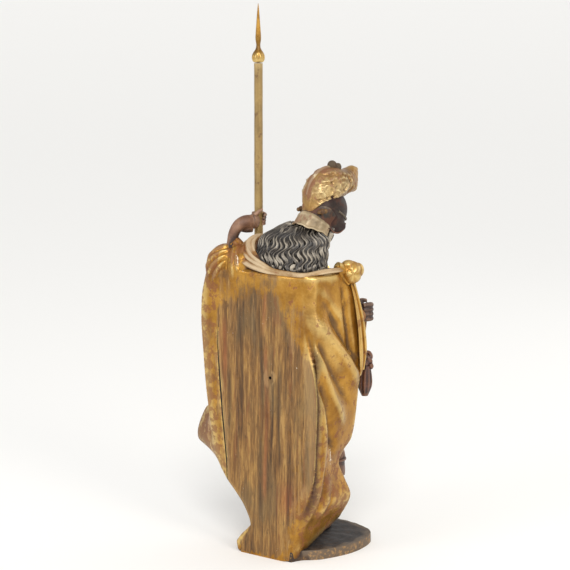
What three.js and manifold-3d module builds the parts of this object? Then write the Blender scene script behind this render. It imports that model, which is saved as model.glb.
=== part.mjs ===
// A carved and gilded saint in armour, bowed over a raised right hand, with a tall lance in the left.
// Millimetres, +Z up, the figure faces -Y, its left is +X.
// The origin is on the underside of the base, at the middle of the base's width.
import * as THREE from "three";
import { ParametricGeometry } from "three/addons/geometries/ParametricGeometry.js";
import { mergeVertices } from "three/addons/utils/BufferGeometryUtils.js";
import Module from "manifold-3d";

const wasm = await Module();
wasm.setup();

// Driving dimensions
const lanceTop = 1176;
const lanceX = 89;
const lanceY = -10;
const shaftRadius = 9.4;
const shaftTop = 1049;
const clearance = 0.4;
const baseThickness = 22;
const baseHalfWidth = 143;
const baseFront = -172;
const backPlane = 100;
const backLean = 10;
const leanHeight = 600;
const shoulderTop = 640;
const headCentre = new THREE.Vector3(-60, -45, 745);
const headTurn = THREE.MathUtils.degToRad(14.5);
const headBow = THREE.MathUtils.degToRad(30);

// Outlines of the cloak, as pairs of height and position, read up the figure
const backLeftX = [
  [0, 60], [30, 48], [64, 33], [103, 50], [130, 73], [159, 101], [200, 124],
  [312, 158], [400, 170], [500, 176], [600, 176], [640, 160],
];
const backRightX = [
  [0, -80], [60, -92], [165, -134], [257, -141], [366, -143], [486, -124],
  [560, -116], [640, -112],
];
const rightFrontX = [
  [0, -76], [60, -90], [119, -128], [159, -118], [200, -118], [250, -126],
  [336, -136], [400, -138], [470, -140], [560, -138], [640, -126],
];
const rightFrontY = [
  [0, -54], [60, -64], [119, -64], [159, -52], [200, -26], [225, -36], [250, -62],
  [336, -66], [400, -68], [470, -66], [560, -56], [640, -40],
];
const leftFrontX = [
  [0, 40], [60, 52], [119, 92], [180, 130], [198, 176], [226, 240], [262, 214],
  [310, 164], [400, 168], [520, 170], [600, 162], [640, 140],
];
const leftFrontY = [
  [0, 40], [60, 24], [180, 14], [226, 40], [300, 20], [450, 12], [640, 12],
];

// A smooth curve through pairs of height and value.
function reading(table, at) {
  const last = table.length - 1;
  if (at <= table[0][0]) return table[0][1];
  if (at >= table[last][0]) return table[last][1];
  const i = table.findIndex((pair) => pair[0] > at) - 1;
  const slope = (j) => {
    const before = table[Math.max(j - 1, 0)];
    const after = table[Math.min(j + 1, last)];
    return (after[1] - before[1]) / (after[0] - before[0]);
  };
  const span = table[i + 1][0] - table[i][0];
  const t = (at - table[i][0]) / span;
  const rise = table[i + 1][1] - table[i][1];
  const startSlope = slope(i) * span;
  const endSlope = slope(i + 1) * span;
  const bend = t * (1 - t);
  const ease = t * t * (3 - 2 * t);
  return table[i][1] + rise * ease + bend * ((1 - t) * startSlope - t * endSlope);
}

const bump = (x, centre, width) => Math.exp(-(((x - centre) / width) ** 2));
const mix = THREE.MathUtils.lerp;

// A closed geometry as a solid: shared corners merged, faces without area dropped.
function solidOf(geometry) {
  geometry.deleteAttribute("normal");
  geometry.deleteAttribute("uv");
  const merged = mergeVertices(geometry, 1e-4);
  const index = merged.index.array;
  const kept = [];
  for (let i = 0; i < index.length; i += 3) {
    const [a, b, c] = [index[i], index[i + 1], index[i + 2]];
    if (a !== b && b !== c && c !== a) kept.push(a, b, c);
  }
  const closed = () =>
    new wasm.Manifold(
      new wasm.Mesh({
        numProp: 3,
        vertProperties: merged.attributes.position.array,
        triVerts: new Uint32Array(kept),
      }),
    );
  const solid = closed();
  if (solid.volume() > 0) return solid;
  kept.reverse();
  return closed();
}

function joined(solids) {
  return solids.reduce((whole, next) => whole.add(next));
}

// The one outer body of a solid, without any hollow sealed inside it.
function outerBody(solid) {
  const bodies = solid.decompose().sort((a, b) => b.volume() - a.volume());
  return bodies[0];
}

function meshOf(name, solid, material) {
  const result = solid.getMesh();
  const geometry = new THREE.BufferGeometry();
  const positions = new THREE.BufferAttribute(result.vertProperties, 3);
  geometry.setAttribute("position", positions);
  geometry.setIndex(new THREE.BufferAttribute(result.triVerts, 1));
  geometry.computeVertexNormals();
  const mesh = new THREE.Mesh(geometry, material);
  mesh.name = name;
  return mesh;
}

// A skin of rings, closed by a point in the middle of the first and the last ring.
// ringPoint(turn, step) gives a point at turn 0..1 round the ring at step 0..1 along the skin.
function skin(ringPoint, around, rings) {
  const middle = (step) => {
    const sum = new THREE.Vector3();
    for (let i = 0; i < around; i++) sum.add(ringPoint(i / around, step));
    return sum.divideScalar(around);
  };
  const start = middle(0);
  const end = middle(1);
  const rows = rings + 1;
  const surface = (v, u, target) => {
    const row = Math.round(v * rows);
    if (row === 0) target.copy(start);
    else if (row === rows) target.copy(end);
    else target.copy(ringPoint((Math.round(u * around) % around) / around, (row - 1) / (rings - 1)));
  };
  return solidOf(new ParametricGeometry(surface, rows, around));
}

// A limb: round rings along a smooth path, with a radius at each path point.
// A flat limb is thinned along the direction thinAlong.
function limb(points, radii, around = 10, rings = 10, thickness = 1, thinAlong = null) {
  const path = new THREE.CatmullRomCurve3(points.map((p) => new THREE.Vector3(...p)));
  const frames = path.computeFrenetFrames(rings - 1);
  const radiusTable = radii.map((r, i) => [i / (radii.length - 1), r]);
  const ring = (turn, step) => {
    const angle = 2 * Math.PI * turn;
    const i = Math.round(step * (rings - 1));
    let [side, other] = [frames.normals[i], frames.binormals[i]];
    if (thinAlong) {
      side = new THREE.Vector3().crossVectors(frames.tangents[i], new THREE.Vector3(...thinAlong)).normalize();
      other = new THREE.Vector3().crossVectors(side, frames.tangents[i]);
    }
    const radius = reading(radiusTable, step);
    return path
      .getPointAt(step)
      .addScaledVector(side, radius * Math.cos(angle))
      .addScaledVector(other, radius * thickness * Math.sin(angle));
  };
  return skin(ring, around, rings);
}

function ball(centre, radii, across = 14, down = 10, turn = new THREE.Matrix4()) {
  const geometry = new THREE.SphereGeometry(1, across, down);
  geometry.rotateX(Math.PI / 2);
  geometry.scale(...radii);
  geometry.applyMatrix4(turn);
  geometry.translate(...centre);
  return solidOf(geometry);
}

function rod(x, y, radius, from, to, sides) {
  const geometry = new THREE.CylinderGeometry(radius, radius, to - from, sides);
  geometry.rotateX(Math.PI / 2);
  geometry.translate(x, y, (from + to) / 2);
  return solidOf(geometry);
}

// The base: an oval plate, cut off flat at the back
function basePlate() {
  const chamfer = 3;
  const rim = [
    [-80, backPlane], [-122, 40], [-baseHalfWidth, -45], [-128, -130], [-70, -164], [0, baseFront],
    [72, -160], [118, -118], [130, -50], [112, 2], [92, 46], [68, backPlane],
  ];
  const outline = new THREE.Shape();
  outline.moveTo(...rim[0]);
  outline.splineThru(rim.slice(1).map(([x, y]) => new THREE.Vector2(x, y)));
  const plate = new THREE.ExtrudeGeometry(outline, {
    depth: baseThickness - chamfer,
    bevelThickness: chamfer,
    bevelSize: chamfer,
    bevelOffset: -chamfer,
    bevelSegments: 1,
    curveSegments: 4,
  });
  return solidOf(plate).trimByPlane([0, 0, 1], 0);
}

// The level section of the cloak: six corners, joined and softened
function cloakCorners(z) {
  const back = backPlane - (backLean * Math.min(z, leanHeight)) / leanHeight;
  const hollow = z < 380 ? -6 : mix(-6, -30, (z - 380) / 260);
  return [
    new THREE.Vector2(reading(backLeftX, z), back),
    new THREE.Vector2(reading(backRightX, z), back),
    new THREE.Vector2(reading(rightFrontX, z), reading(rightFrontY, z)),
    new THREE.Vector2(reading(rightFrontX, z) + 30, hollow),
    new THREE.Vector2(reading(leftFrontX, Math.min(z, 180)) * 0.5, 8),
    new THREE.Vector2(reading(leftFrontX, z), reading(leftFrontY, z)),
  ];
}

const cornerTurns = [0, 0.24, 0.6, 0.66, 0.76, 0.83, 1];

function cloakEdge(corners, turn) {
  const at = ((turn % 1) + 1) % 1;
  const i = cornerTurns.findIndex((start) => start > at) - 1;
  const share = (at - cornerTurns[i]) / (cornerTurns[i + 1] - cornerTurns[i]);
  return corners[i].clone().lerp(corners[(i + 1) % corners.length], share);
}

// How far the folds stand out from the cloak, by turn round it and height
function foldDepth(turn, z) {
  const wall = (turn - cornerTurns[1]) / (cornerTurns[2] - cornerTurns[1]);
  const low = bump(z, 250, 190);
  const groove = -15 * bump(wall, 0.06, 0.07) * bump(z, 330, 150);
  const sweep = wall - (520 - z) / 190;
  const great = 18 * bump(sweep, 0.1, 0.2) * bump(z, 440, 90);
  const second = wall - (400 - z) / 330;
  const lower = 11 * bump(second, 0.22, 0.17) * bump(z, 300, 90);
  const valley = -11 * bump(second, -0.08, 0.15) * bump(z, 330, 90);
  const bulge = 8 * bump(wall, 0.75, 0.25) * bump(z, 120, 40);
  const leftSeam = -7 * bump(turn, 0.075, 0.012) * bump(z, 360, 170);
  const leftFolds = turn > 0.85 && turn < 0.98 ? 5 * Math.sin(turn * 120) : 0;
  const frontFolds = turn > 0.62 && turn < 0.8 ? 5 * Math.sin(turn * 170) * low : 0;
  return groove + great + lower + valley + bulge + leftSeam + leftFolds + frontFolds;
}

function cloakPoint(turn, z) {
  const corners = cloakCorners(z);
  const softness = mix(0.012, 0.045, THREE.MathUtils.smoothstep(z, 540, 630));
  const samples = 7;
  const point = new THREE.Vector2();
  for (let i = 0; i < samples; i++) {
    const offset = softness * ((2 * i) / (samples - 1) - 1);
    point.add(cloakEdge(corners, turn + offset));
  }
  point.divideScalar(samples);
  const ahead = cloakEdge(corners, turn + 0.03);
  const behind = cloakEdge(corners, turn - 0.03);
  const along = ahead.sub(behind).normalize();
  const depth = foldDepth(turn, z);
  return new THREE.Vector2(point.x + along.y * depth, point.y - along.x * depth);
}

// The cloak, from the floor to the shoulders, rounded off on top and cut away under its front hem
function cloak() {
  const rings = 27;
  const domed = 34;
  const ring = (turn, step) => {
    const z = shoulderTop * (1 - (1 - step) ** 1.12);
    const point = cloakPoint(turn, z);
    const over = Math.max(0, (z - (shoulderTop - domed)) / domed);
    const shrink = Math.sqrt(1 - over * over * 0.62);
    const centre = new THREE.Vector2(5, 25);
    point.sub(centre).multiplyScalar(shrink).add(centre);
    return new THREE.Vector3(point.x, point.y, z);
  };
  const whole = skin(ring, 50, rings);
  const rise = 66 / 160;
  const length = Math.hypot(rise, 1);
  return whole.trimByPlane([0, rise / length, 1 / length], (backPlane * rise) / length);
}

// The back foot of the cloak, which spreads to the corner of the base
function cloakFoot() {
  const wall = new THREE.Shape();
  wall.moveTo(-80, 0);
  wall.lineTo(66, 0);
  wall.lineTo(68, baseThickness);
  wall.lineTo(33, 66);
  wall.lineTo(-86, 60);
  const geometry = new THREE.ExtrudeGeometry(wall, { depth: 34, bevelEnabled: false });
  geometry.rotateX(Math.PI / 2);
  geometry.translate(0, backPlane, 0);
  return solidOf(geometry);
}

// Left shoulder with the raised arm under the cloth, and the forearm bare above it
function leftArm() {
  const shoulder = ball([134, 48, 612], [52, 46, 57], 13, 9);
  const slope = limb([[128, 50, 622], [88, 50, 634], [56, 30, 646]], [42, 30, 26], 10, 4);
  const cuff = limb([[96, 30, 640], [112, 44, 676], [116, 52, 684]], [20, 14, 9], 8, 3);
  const forearm = limb(
    [[112, 50, 664], [107, 44, 690], [99, 36, 708], [90, 16, 716]],
    [11, 10, 9.5, 10],
    7,
    6,
  );
  const palm = ball([89, 5, 716], [13, 11, 12], 8, 6);
  const fingers = [0, 1, 2, 3].map((i) =>
    limb(
      [
        [100, -4 - i, 724 - i * 6],
        [90, -24, 723 - i * 6],
        [76, -18, 722 - i * 6],
        [73, -6, 721 - i * 6],
      ],
      [4.4, 4.2, 3.6, 2.6],
      5,
      4,
    ),
  );
  const knuckles = ball([98, -6, 714], [8, 11, 13], 8, 5);
  const hand = joined([palm, knuckles, ...fingers]);
  const hole = rod(lanceX, lanceY, shaftRadius + clearance, 600, 800, 16);
  return joined([shoulder, slope, cuff, forearm, hand]).subtract(hole);
}

// Right arm, bent at the elbow, with the cloak caught over it and the hand before the chest
function rightArm() {
  const sleeve = limb(
    [[-98, -6, 606], [-122, -20, 560], [-126, -50, 506], [-122, -104, 514]],
    [32, 29, 24, 16],
    9,
    6,
  );
  const hand = ball([-122, -126, 520], [17, 17, 21], 10, 7);
  const fingers = [0, 1, 2, 3].map((i) =>
    limb(
      [
        [-133, -120, 535 - i * 10],
        [-138, -135, 535 - i * 10],
        [-123, -147, 533 - i * 10],
        [-110, -140, 531 - i * 10],
      ],
      [5, 5.4, 5, 3.4],
      5,
      4,
    ),
  );
  const thumb = limb([[-118, -118, 536], [-113, -134, 546], [-118, -146, 547]], [6, 5.5, 4], 6, 4);
  const drape = limb(
    [[-114, -66, 520], [-116, -84, 480], [-114, -84, 420], [-106, -72, 340]],
    [26, 28, 26, 12],
    9,
    5,
  );
  const strap = limb(
    [[-137, -30, 602], [-144, -40, 560], [-146, -56, 480], [-142, -66, 398]],
    [8, 9, 10, 9],
    6,
    6,
    0.5,
    [1, 0.4, 0],
  );
  return joined([sleeve, hand, thumb, drape, strap, ...fingers]);
}

// The round clasp on the right shoulder, and the sash knot with its pleated end
function trimmings() {
  const clasp = ball([-135, -38, 615], [23, 23, 26], 10, 7);
  const claspPin = ball([-120, -30, 632], [14, 14, 12], 8, 5);
  const knot = ball([-133, -108, 417], [15, 14, 14], 8, 6);
  const sashEnd = ball([-126, -106, 366], [14, 14, 34], 8, 6);
  const tie = limb([[-104, -70, 430], [-118, -92, 425], [-130, -106, 418]], [9, 9, 9], 6, 3);
  const link = limb([[-131, -107, 412], [-128, -106, 392]], [8, 8], 6, 2);
  return joined([clasp, claspPin, knot, sashEnd, tie, link]);
}

// The rolled neckline, low at the back and standing up beside the lance
function collar() {
  return limb(
    [
      [52, -28, 662], [60, 10, 674], [54, 46, 654], [22, 70, 630],
      [-40, 76, 619], [-96, 62, 620], [-122, 22, 626], [-124, -30, 624],
    ],
    [10, 13, 13, 13, 12, 13, 14, 12],
    6,
    13,
  );
}

// Breastplate, edge of the cloak across it, short skirt of the tunic and the two booted legs
function body() {
  const chest = skin(
    (turn, step) => {
      const z = mix(385, 652, step);
      const angle = 2 * Math.PI * turn;
      const wide = reading([[385, 58], [420, 55], [480, 68], [560, 78], [615, 74], [652, 32]], z);
      const deep = reading([[385, 44], [420, 42], [500, 56], [560, 62], [615, 52], [652, 28]], z);
      const keel = angle > Math.PI ? 4 * bump(turn, 0.75, 0.05) : 0;
      const x = -4 + wide * Math.cos(angle);
      return new THREE.Vector3(x, -16 + (deep + keel) * Math.sin(angle), z);
    },
    16,
    8,
  );
  const skirt = skin(
    (turn, step) => {
      const z = mix(402, 300, step);
      const angle = 2 * Math.PI * (1 - turn);
      const flare = mix(0, 26, Math.sqrt(step));
      const pleat = 3.5 * step * Math.cos(angle * 11);
      const x = -6 + (62 + flare * 0.7 + pleat) * Math.cos(angle);
      return new THREE.Vector3(x, -14 + (46 + flare + pleat) * Math.sin(angle), z);
    },
    33,
    3,
  );
  const neck = limb([[-22, -8, 625], [-38, -20, 670], [-52, -34, 705]], [34, 28, 27], 10, 4);
  const legs = [leg(1), leg(-1)];
  const mantle = limb(
    [[-122, -48, 610], [-66, -82, 582], [6, -86, 588], [54, -58, 622], [58, -14, 652]],
    [17, 21, 22, 20, 16],
    7,
    7,
  );
  return joined([chest, skirt, neck, mantle, ...legs]);
}

function leg(side) {
  const left = side > 0;
  const hip = left ? [36, -18, 330] : [-38, -24, 330];
  const thigh = left ? [38, -32, 270] : [-50, -58, 265];
  const knee = left ? [42, -44, 208] : [-62, -84, 194];
  const calf = left ? [42, -30, 150] : [-54, -62, 140];
  const ankle = left ? [40, -26, 70] : [-40, -44, 66];
  const heel = left ? [40, -28, 40] : [-38, -42, 38];
  const shin = limb([hip, thigh, knee, calf, ankle, heel], [34, 31, 25, 26, 16, 18], 9, 9);
  const cuff = limb(
    [
      [knee[0], knee[1] + 4, knee[2] - 4],
      [mix(knee[0], calf[0], 0.5), mix(knee[1], calf[1], 0.5), (knee[2] + calf[2]) / 2],
    ],
    [31, 28],
    10,
    2,
  );
  const lean = left ? 0.22 : -0.1;
  const toe = [heel[0] + 84 * lean, heel[1] - 84, 31];
  const foot = limb(
    [[heel[0] - 12 * lean, heel[1] + 16, 32], heel, [mix(heel[0], toe[0], 0.6), toe[1] + 34, 35], toe],
    [13, 19, 17, 11],
    7,
    5,
    0.85,
    [0, 0, 1],
  );
  const sole = new THREE.SphereGeometry(1, 10, 6);
  sole.scale(19, 54, 9);
  sole.rotateZ(Math.atan(lean));
  sole.translate((heel[0] * 0.55 + toe[0] * 0.45), (heel[1] * 0.55 + toe[1] * 0.45), 26);
  return joined([shin, cuff, foot, solidOf(sole)]);
}

// The head's own directions: forward down the nose, up through the crown, and to its left
function headFrame() {
  const turned = new THREE.Vector3(-Math.sin(headTurn), -Math.cos(headTurn), 0);
  const up = new THREE.Vector3(0, 0, 1);
  const forward = turned
    .clone()
    .multiplyScalar(Math.cos(headBow))
    .addScaledVector(up, -Math.sin(headBow));
  const crown = turned
    .clone()
    .multiplyScalar(Math.sin(headBow))
    .addScaledVector(up, Math.cos(headBow));
  const left = new THREE.Vector3().crossVectors(crown, forward);
  return { forward, crown, left };
}

const headAxes = headFrame();

// A point given from the middle of the head: to its left, forward, and up
function onHead(left, forward, up) {
  return headCentre
    .clone()
    .addScaledVector(headAxes.left, left)
    .addScaledVector(headAxes.forward, forward)
    .addScaledVector(headAxes.crown, up);
}

function headBall(place, radii, across, down) {
  const geometry = new THREE.SphereGeometry(1, across, down);
  geometry.scale(...radii);
  geometry.applyMatrix4(
    new THREE.Matrix4().makeBasis(headAxes.left, headAxes.forward.clone().negate(), headAxes.crown),
  );
  geometry.translate(...onHead(...place).toArray());
  return solidOf(geometry);
}

function face() {
  const skull = headBall([0, 2, -22], [33, 41, 46], 11, 8);
  const jaw = headBall([0, 20, -52], [24, 24, 24], 10, 6);
  const nose = headBall([0, 44, -26], [6, 9, 13], 6, 5);
  const beard = headBall([0, 30, -70], [24, 20, 26], 9, 6);
  return joined([skull, jaw, nose, beard]);
}

// Helmet: dark bowl, flaring neck guard, cheek plates, and the tall gilded crest over the crown
function helmet() {
  const bowl = headBall([0, 0, 0], [41, 50, 48], 14, 9);
  const guard = skin(
    (turn, step) => {
      const angle = 2 * Math.PI * turn;
      const back = 0.5 + 0.5 * Math.sin(angle);
      const height = mix(-20, -56, step);
      const flare = mix(0, 12, step * step) * back;
      return onHead((40 + flare * 0.4) * Math.cos(angle), -(48 + flare) * Math.sin(angle) * (back > 0.5 ? 1 : 0.5), height);
    },
    16,
    3,
  );
  const cheeks = [-1, 1].map((side) =>
    headBall([side * 34, 32, -34], [7, 20, 18], 8, 6),
  );
  return joined([bowl, guard, crest(), ...cheeks]);
}

// The crest rises from a slanting edge, nape to brow, and curls forward to a blunt peak
function crest() {
  const slope = Math.atan2(104, 96);
  const edgeStart = [-44, -37];
  const peakHeight = [[-62, 0], [-50, 15], [-24, 46], [13, 69], [45, 78], [76, 70], [95, 60], [110, 40]];
  const foot = [[-62, -10], [30, -8], [80, 0], [112, 26]];
  const halfWidth = [[-62, 22], [-40, 33], [20, 38], [70, 30], [112, 14]];
  return skin(
    (turn, step) => {
      const along = mix(-62, 112, step);
      const high = reading(peakHeight, along);
      const low = reading(foot, along);
      const angle = 2 * Math.PI * (1 - turn);
      const square = (value) => Math.sign(value) * Math.abs(value) ** 0.72;
      const left = reading(halfWidth, along) * square(Math.cos(angle));
      const lift = mix(low, Math.max(high, low + 2), 0.5 + 0.5 * square(Math.sin(angle)));
      const offset = along - (edgeStart[0] * Math.cos(slope) + edgeStart[1] * Math.sin(slope));
      const forward = edgeStart[0] + offset * Math.cos(slope) - lift * Math.sin(slope);
      const up = edgeStart[1] + offset * Math.sin(slope) + lift * Math.cos(slope);
      return onHead(left, forward, up);
    },
    12,
    9,
  );
}

// Long hair that spreads from the neck guard over the collar
function hair() {
  return skin(
    (turn, step) => {
      const z = mix(722, 606, step);
      const angle = 2 * Math.PI * (1 - turn);
      const wide = reading([[606, 70], [622, 88], [650, 88], [680, 76], [705, 54], [722, 26]], z);
      const deep = reading([[606, 34], [622, 52], [650, 56], [690, 44], [722, 24]], z);
      const centreX = reading([[606, -20], [650, -16], [690, -26], [722, -38]], z);
      const centreY = reading([[606, 28], [650, 18], [690, -2], [722, -12]], z);
      const wave = 2.2 * Math.sin(angle * 9 + z * 0.12);
      return new THREE.Vector3(
        centreX + (wide + wave) * Math.cos(angle),
        centreY + (deep + wave) * Math.sin(angle),
        z,
      );
    },
    20,
    7,
  );
}

function figure() {
  const whole = joined([
    basePlate(),
    cloakFoot(),
    cloak(),
    body(),
    rightArm(),
    trimmings(),
    collar(),
    face(),
    helmet(),
    hair(),
    leftArm(),
  ]);
  const nailHole = new THREE.CylinderGeometry(3.5, 3.5, 60, 8);
  nailHole.translate(-18, backPlane, 394);
  const lancePath = rod(lanceX, lanceY, shaftRadius + clearance, baseThickness + clearance, 760, 16);
  return outerBody(whole.subtract(solidOf(nailHole)).subtract(lancePath).trimByPlane([0, 0, 1], 0));
}

function lanceShaft() {
  return rod(lanceX, lanceY, shaftRadius, baseThickness + clearance, shaftTop, 16);
}

// Fluted bulb, thin neck and long spike, turned about the lance
function lanceHead() {
  const profile = [
    [0, shaftTop + clearance], [8, shaftTop + clearance], [13.5, 1056], [14.5, 1064], [12, 1072],
    [6, 1079], [4, 1087], [6, 1097], [6.2, 1103], [4, 1130], [1.8, 1160], [0, lanceTop],
  ];
  const geometry = new THREE.LatheGeometry(profile.map(([r, z]) => new THREE.Vector2(r, z)), 14);
  geometry.rotateX(Math.PI / 2);
  geometry.translate(lanceX, lanceY, 0);
  return solidOf(geometry);
}

const wornGold = new THREE.MeshStandardMaterial({ color: 0xa97a32, roughness: 0.45, metalness: 0.7 });
const dullGold = new THREE.MeshStandardMaterial({ color: 0x8d7340, roughness: 0.55, metalness: 0.6 });

const saint = new THREE.Group();
saint.add(meshOf("figure", figure(), wornGold));
saint.add(meshOf("lance_shaft", lanceShaft(), dullGold));
saint.add(meshOf("lance_head", lanceHead(), wornGold));

export default saint;
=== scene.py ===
import math
import random

import bpy
import numpy as np
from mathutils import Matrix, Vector


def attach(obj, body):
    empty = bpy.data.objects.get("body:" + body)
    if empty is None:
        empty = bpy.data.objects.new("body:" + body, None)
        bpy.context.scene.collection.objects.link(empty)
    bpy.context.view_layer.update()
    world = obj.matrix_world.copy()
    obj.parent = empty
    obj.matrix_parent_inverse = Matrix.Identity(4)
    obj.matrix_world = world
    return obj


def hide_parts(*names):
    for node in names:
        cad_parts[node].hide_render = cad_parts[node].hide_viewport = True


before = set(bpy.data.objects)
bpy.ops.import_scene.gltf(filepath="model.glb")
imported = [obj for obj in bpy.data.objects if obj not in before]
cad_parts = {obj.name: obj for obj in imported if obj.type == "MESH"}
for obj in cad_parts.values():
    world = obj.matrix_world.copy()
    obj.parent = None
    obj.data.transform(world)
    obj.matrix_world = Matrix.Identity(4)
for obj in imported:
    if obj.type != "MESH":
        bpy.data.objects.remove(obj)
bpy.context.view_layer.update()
print("frame loaded")

# Every size below is in millimetres and becomes metres where a mesh is made.
# +X is the figure's left, -Y its front, +Z up, the origin is under the base.
mm = 0.001


# Tools of the bench

def mix(a, b, share):
    return a + (b - a) * share


def bump(x, centre, width):
    return np.exp(-(((x - centre) / width) ** 2))


def smoothStep(x, low, high):
    t = np.clip((x - low) / (high - low), 0, 1)
    return t * t * (3 - 2 * t)


def reading(table, at):
    # a smooth curve through pairs of place and value
    table = np.array(table, float)
    places, values = table[:, 0], table[:, 1]
    at = np.clip(np.asarray(at, float), places[0], places[-1])
    i = np.clip(np.searchsorted(places, at, side="right") - 1, 0, len(places) - 2)
    before = np.maximum(np.arange(len(places)) - 1, 0)
    after = np.minimum(np.arange(len(places)) + 1, len(places) - 1)
    slopes = (values[after] - values[before]) / (places[after] - places[before])
    span = places[i + 1] - places[i]
    t = (at - places[i]) / span
    rise = values[i + 1] - values[i]
    bend = t * (1 - t)
    eased = values[i] + rise * t * t * (3 - 2 * t)
    return eased + bend * ((1 - t) * slopes[i] * span - t * slopes[i + 1] * span)


def smoothPath(points, samples):
    # a Catmull-Rom curve through the points, at equal steps of length
    p = np.array(points, float)
    p = np.vstack([2 * p[0] - p[1], p, 2 * p[-1] - p[-2]])
    fine = []
    for i in range(1, len(p) - 2):
        t = np.linspace(0, 1, 24, endpoint=i == len(p) - 3)[:, None]
        a, b, c, d = p[i - 1], p[i], p[i + 1], p[i + 2]
        fine.append(0.5 * (2 * b + (c - a) * t + (2 * a - 5 * b + 4 * c - d) * t**2
                           + (3 * b - a - 3 * c + d) * t**3))
    fine = np.vstack(fine)
    run = np.concatenate([[0], np.cumsum(np.linalg.norm(np.diff(fine, axis=0), axis=1))])
    at = np.linspace(0, run[-1], samples)
    return np.stack([np.interp(at, run, fine[:, k]) for k in range(fine.shape[1])], axis=1)


def nearLine(points, line, samples=40):
    # distance to a drawn line, the share along it, and on which side of it a point lies
    path = smoothPath(line, samples)
    gaps = np.linalg.norm(points[:, None, :] - path[None], axis=2)
    nearest = np.argmin(gaps, axis=1)
    distance = gaps[np.arange(len(points)), nearest]
    ahead = path[np.minimum(nearest + 1, samples - 1)] - path[np.maximum(nearest - 1, 0)]
    offset = points - path[nearest]
    side = np.sign(ahead[:, 0] * offset[:, 1] - ahead[:, 1] * offset[:, 0])
    return distance, nearest / (samples - 1), side


def deselectAll():
    if bpy.context.object and bpy.context.object.mode != "OBJECT":
        bpy.ops.object.mode_set(mode="OBJECT")
    bpy.ops.object.select_all(action="DESELECT")


def choose(piece):
    deselectAll()
    piece.select_set(True)
    bpy.context.view_layer.objects.active = piece


def pointsOf(piece):
    flat = np.empty(len(piece.data.vertices) * 3)
    piece.data.vertices.foreach_get("co", flat)
    return flat.reshape(-1, 3)


def placePoints(piece, points):
    piece.data.vertices.foreach_set("co", np.ascontiguousarray(points, float).ravel())
    piece.data.update()


def normalsOf(piece):
    flat = np.empty(len(piece.data.vertices) * 3)
    piece.data.vertex_normals.foreach_get("vector", flat)
    return flat.reshape(-1, 3)


def applyAll(piece):
    choose(piece)
    for modifier in list(piece.modifiers):
        bpy.ops.object.modifier_apply(modifier=modifier.name)


def paint(piece, material):
    piece.data.materials.clear()
    piece.data.materials.append(material)
    return piece


def wrapSkin(name, around, rows, placeOf, material):
    # a grid wrapped round into a closed skin; placeOf gives the places for its turns and steps
    deselectAll()
    bpy.ops.mesh.primitive_grid_add(x_subdivisions=around, y_subdivisions=rows + 1, size=2)
    piece = bpy.context.object
    piece.name = piece.data.name = name
    flat = pointsOf(piece)
    column = np.rint((flat[:, 0] + 1) / 2 * around).astype(int) % around
    row = np.rint((flat[:, 1] + 1) / 2 * (rows + 1)).astype(int)
    step = np.clip((row - 1) / (rows - 1), 0, 1)
    points = placeOf(column / around, step)
    for pole, ring in ((0, 1), (rows + 1, rows)):
        points[row == pole] = points[row == ring].mean(axis=0)
    placePoints(piece, points * mm)
    bpy.ops.object.mode_set(mode="EDIT")
    bpy.ops.mesh.select_all(action="SELECT")
    bpy.ops.mesh.remove_doubles(threshold=1e-6)
    bpy.ops.mesh.normals_make_consistent(inside=False)
    bpy.ops.object.mode_set(mode="OBJECT")
    return paint(piece, material)


def framesAlong(path):
    # two directions across a path, carried along it without a twist
    tangents = np.gradient(path, axis=0)
    tangents /= np.linalg.norm(tangents, axis=1)[:, None]
    start = np.eye(3)[np.argmin(np.abs(tangents[0]))]
    side = np.cross(tangents[0], start)
    sides = []
    for tangent in tangents:
        side = side - tangent * (side @ tangent)
        side /= np.linalg.norm(side)
        sides.append(side)
    sides = np.array(sides)
    return tangents, sides, np.cross(tangents, sides)


def carveLimb(name, points, radii, around, rows, material, thin=1, thinAlong=None, section=None):
    # a round or flat length along a smooth path; section(angle, step) swells its outline
    path = smoothPath(points, rows)
    tangents, sides, others = framesAlong(path)
    if thinAlong is not None:
        sides = np.cross(tangents, np.array(thinAlong, float))
        sides /= np.linalg.norm(sides, axis=1)[:, None]
        others = np.cross(sides, tangents)
    spread = np.linspace(0, 1, len(radii))
    table = list(zip(spread, radii))

    def placeOf(turn, step):
        i = np.rint(step * (rows - 1)).astype(int)
        angle = 2 * np.pi * turn
        radius = reading(table, step)
        if section:
            radius = radius * section(angle, step)
        across = (radius * np.cos(angle))[:, None] * sides[i]
        return path[i] + across + (radius * thin * np.sin(angle))[:, None] * others[i]

    return wrapSkin(name, around, rows, placeOf, material)


def carveBall(name, centre, radii, material, across=24, down=16, axes=None):
    deselectAll()
    bpy.ops.mesh.primitive_uv_sphere_add(segments=across, ring_count=down, radius=1)
    piece = bpy.context.object
    piece.name = piece.data.name = name
    points = pointsOf(piece) * np.array(radii)
    if axes is not None:
        points = points @ np.array(axes)
    placePoints(piece, (points + np.array(centre)) * mm)
    return paint(piece, material)


def fuse(name, parts):
    # joins closed parts into one solid, each keeping its own finish
    whole = parts[0]
    for part in parts[1:]:
        for slot in part.data.materials:
            if slot.name not in [m.name for m in whole.data.materials]:
                whole.data.materials.append(slot)
        choose(whole)
        joint = whole.modifiers.new("joint", "BOOLEAN")
        joint.operation = "UNION"
        joint.solver = "MANIFOLD"
        joint.material_mode = "TRANSFER"
        joint.object = part
        bpy.ops.object.modifier_apply(modifier=joint.name)
        bpy.data.objects.remove(part)
    whole.name = whole.data.name = name
    return whole


def cutWith(piece, cutter):
    choose(piece)
    cut = piece.modifiers.new("cut", "BOOLEAN")
    cut.operation = "DIFFERENCE"
    cut.solver = "MANIFOLD"
    cut.material_mode = "TRANSFER"
    cut.object = cutter
    bpy.ops.object.modifier_apply(modifier=cut.name)
    bpy.data.objects.remove(cutter)
    return piece


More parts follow.
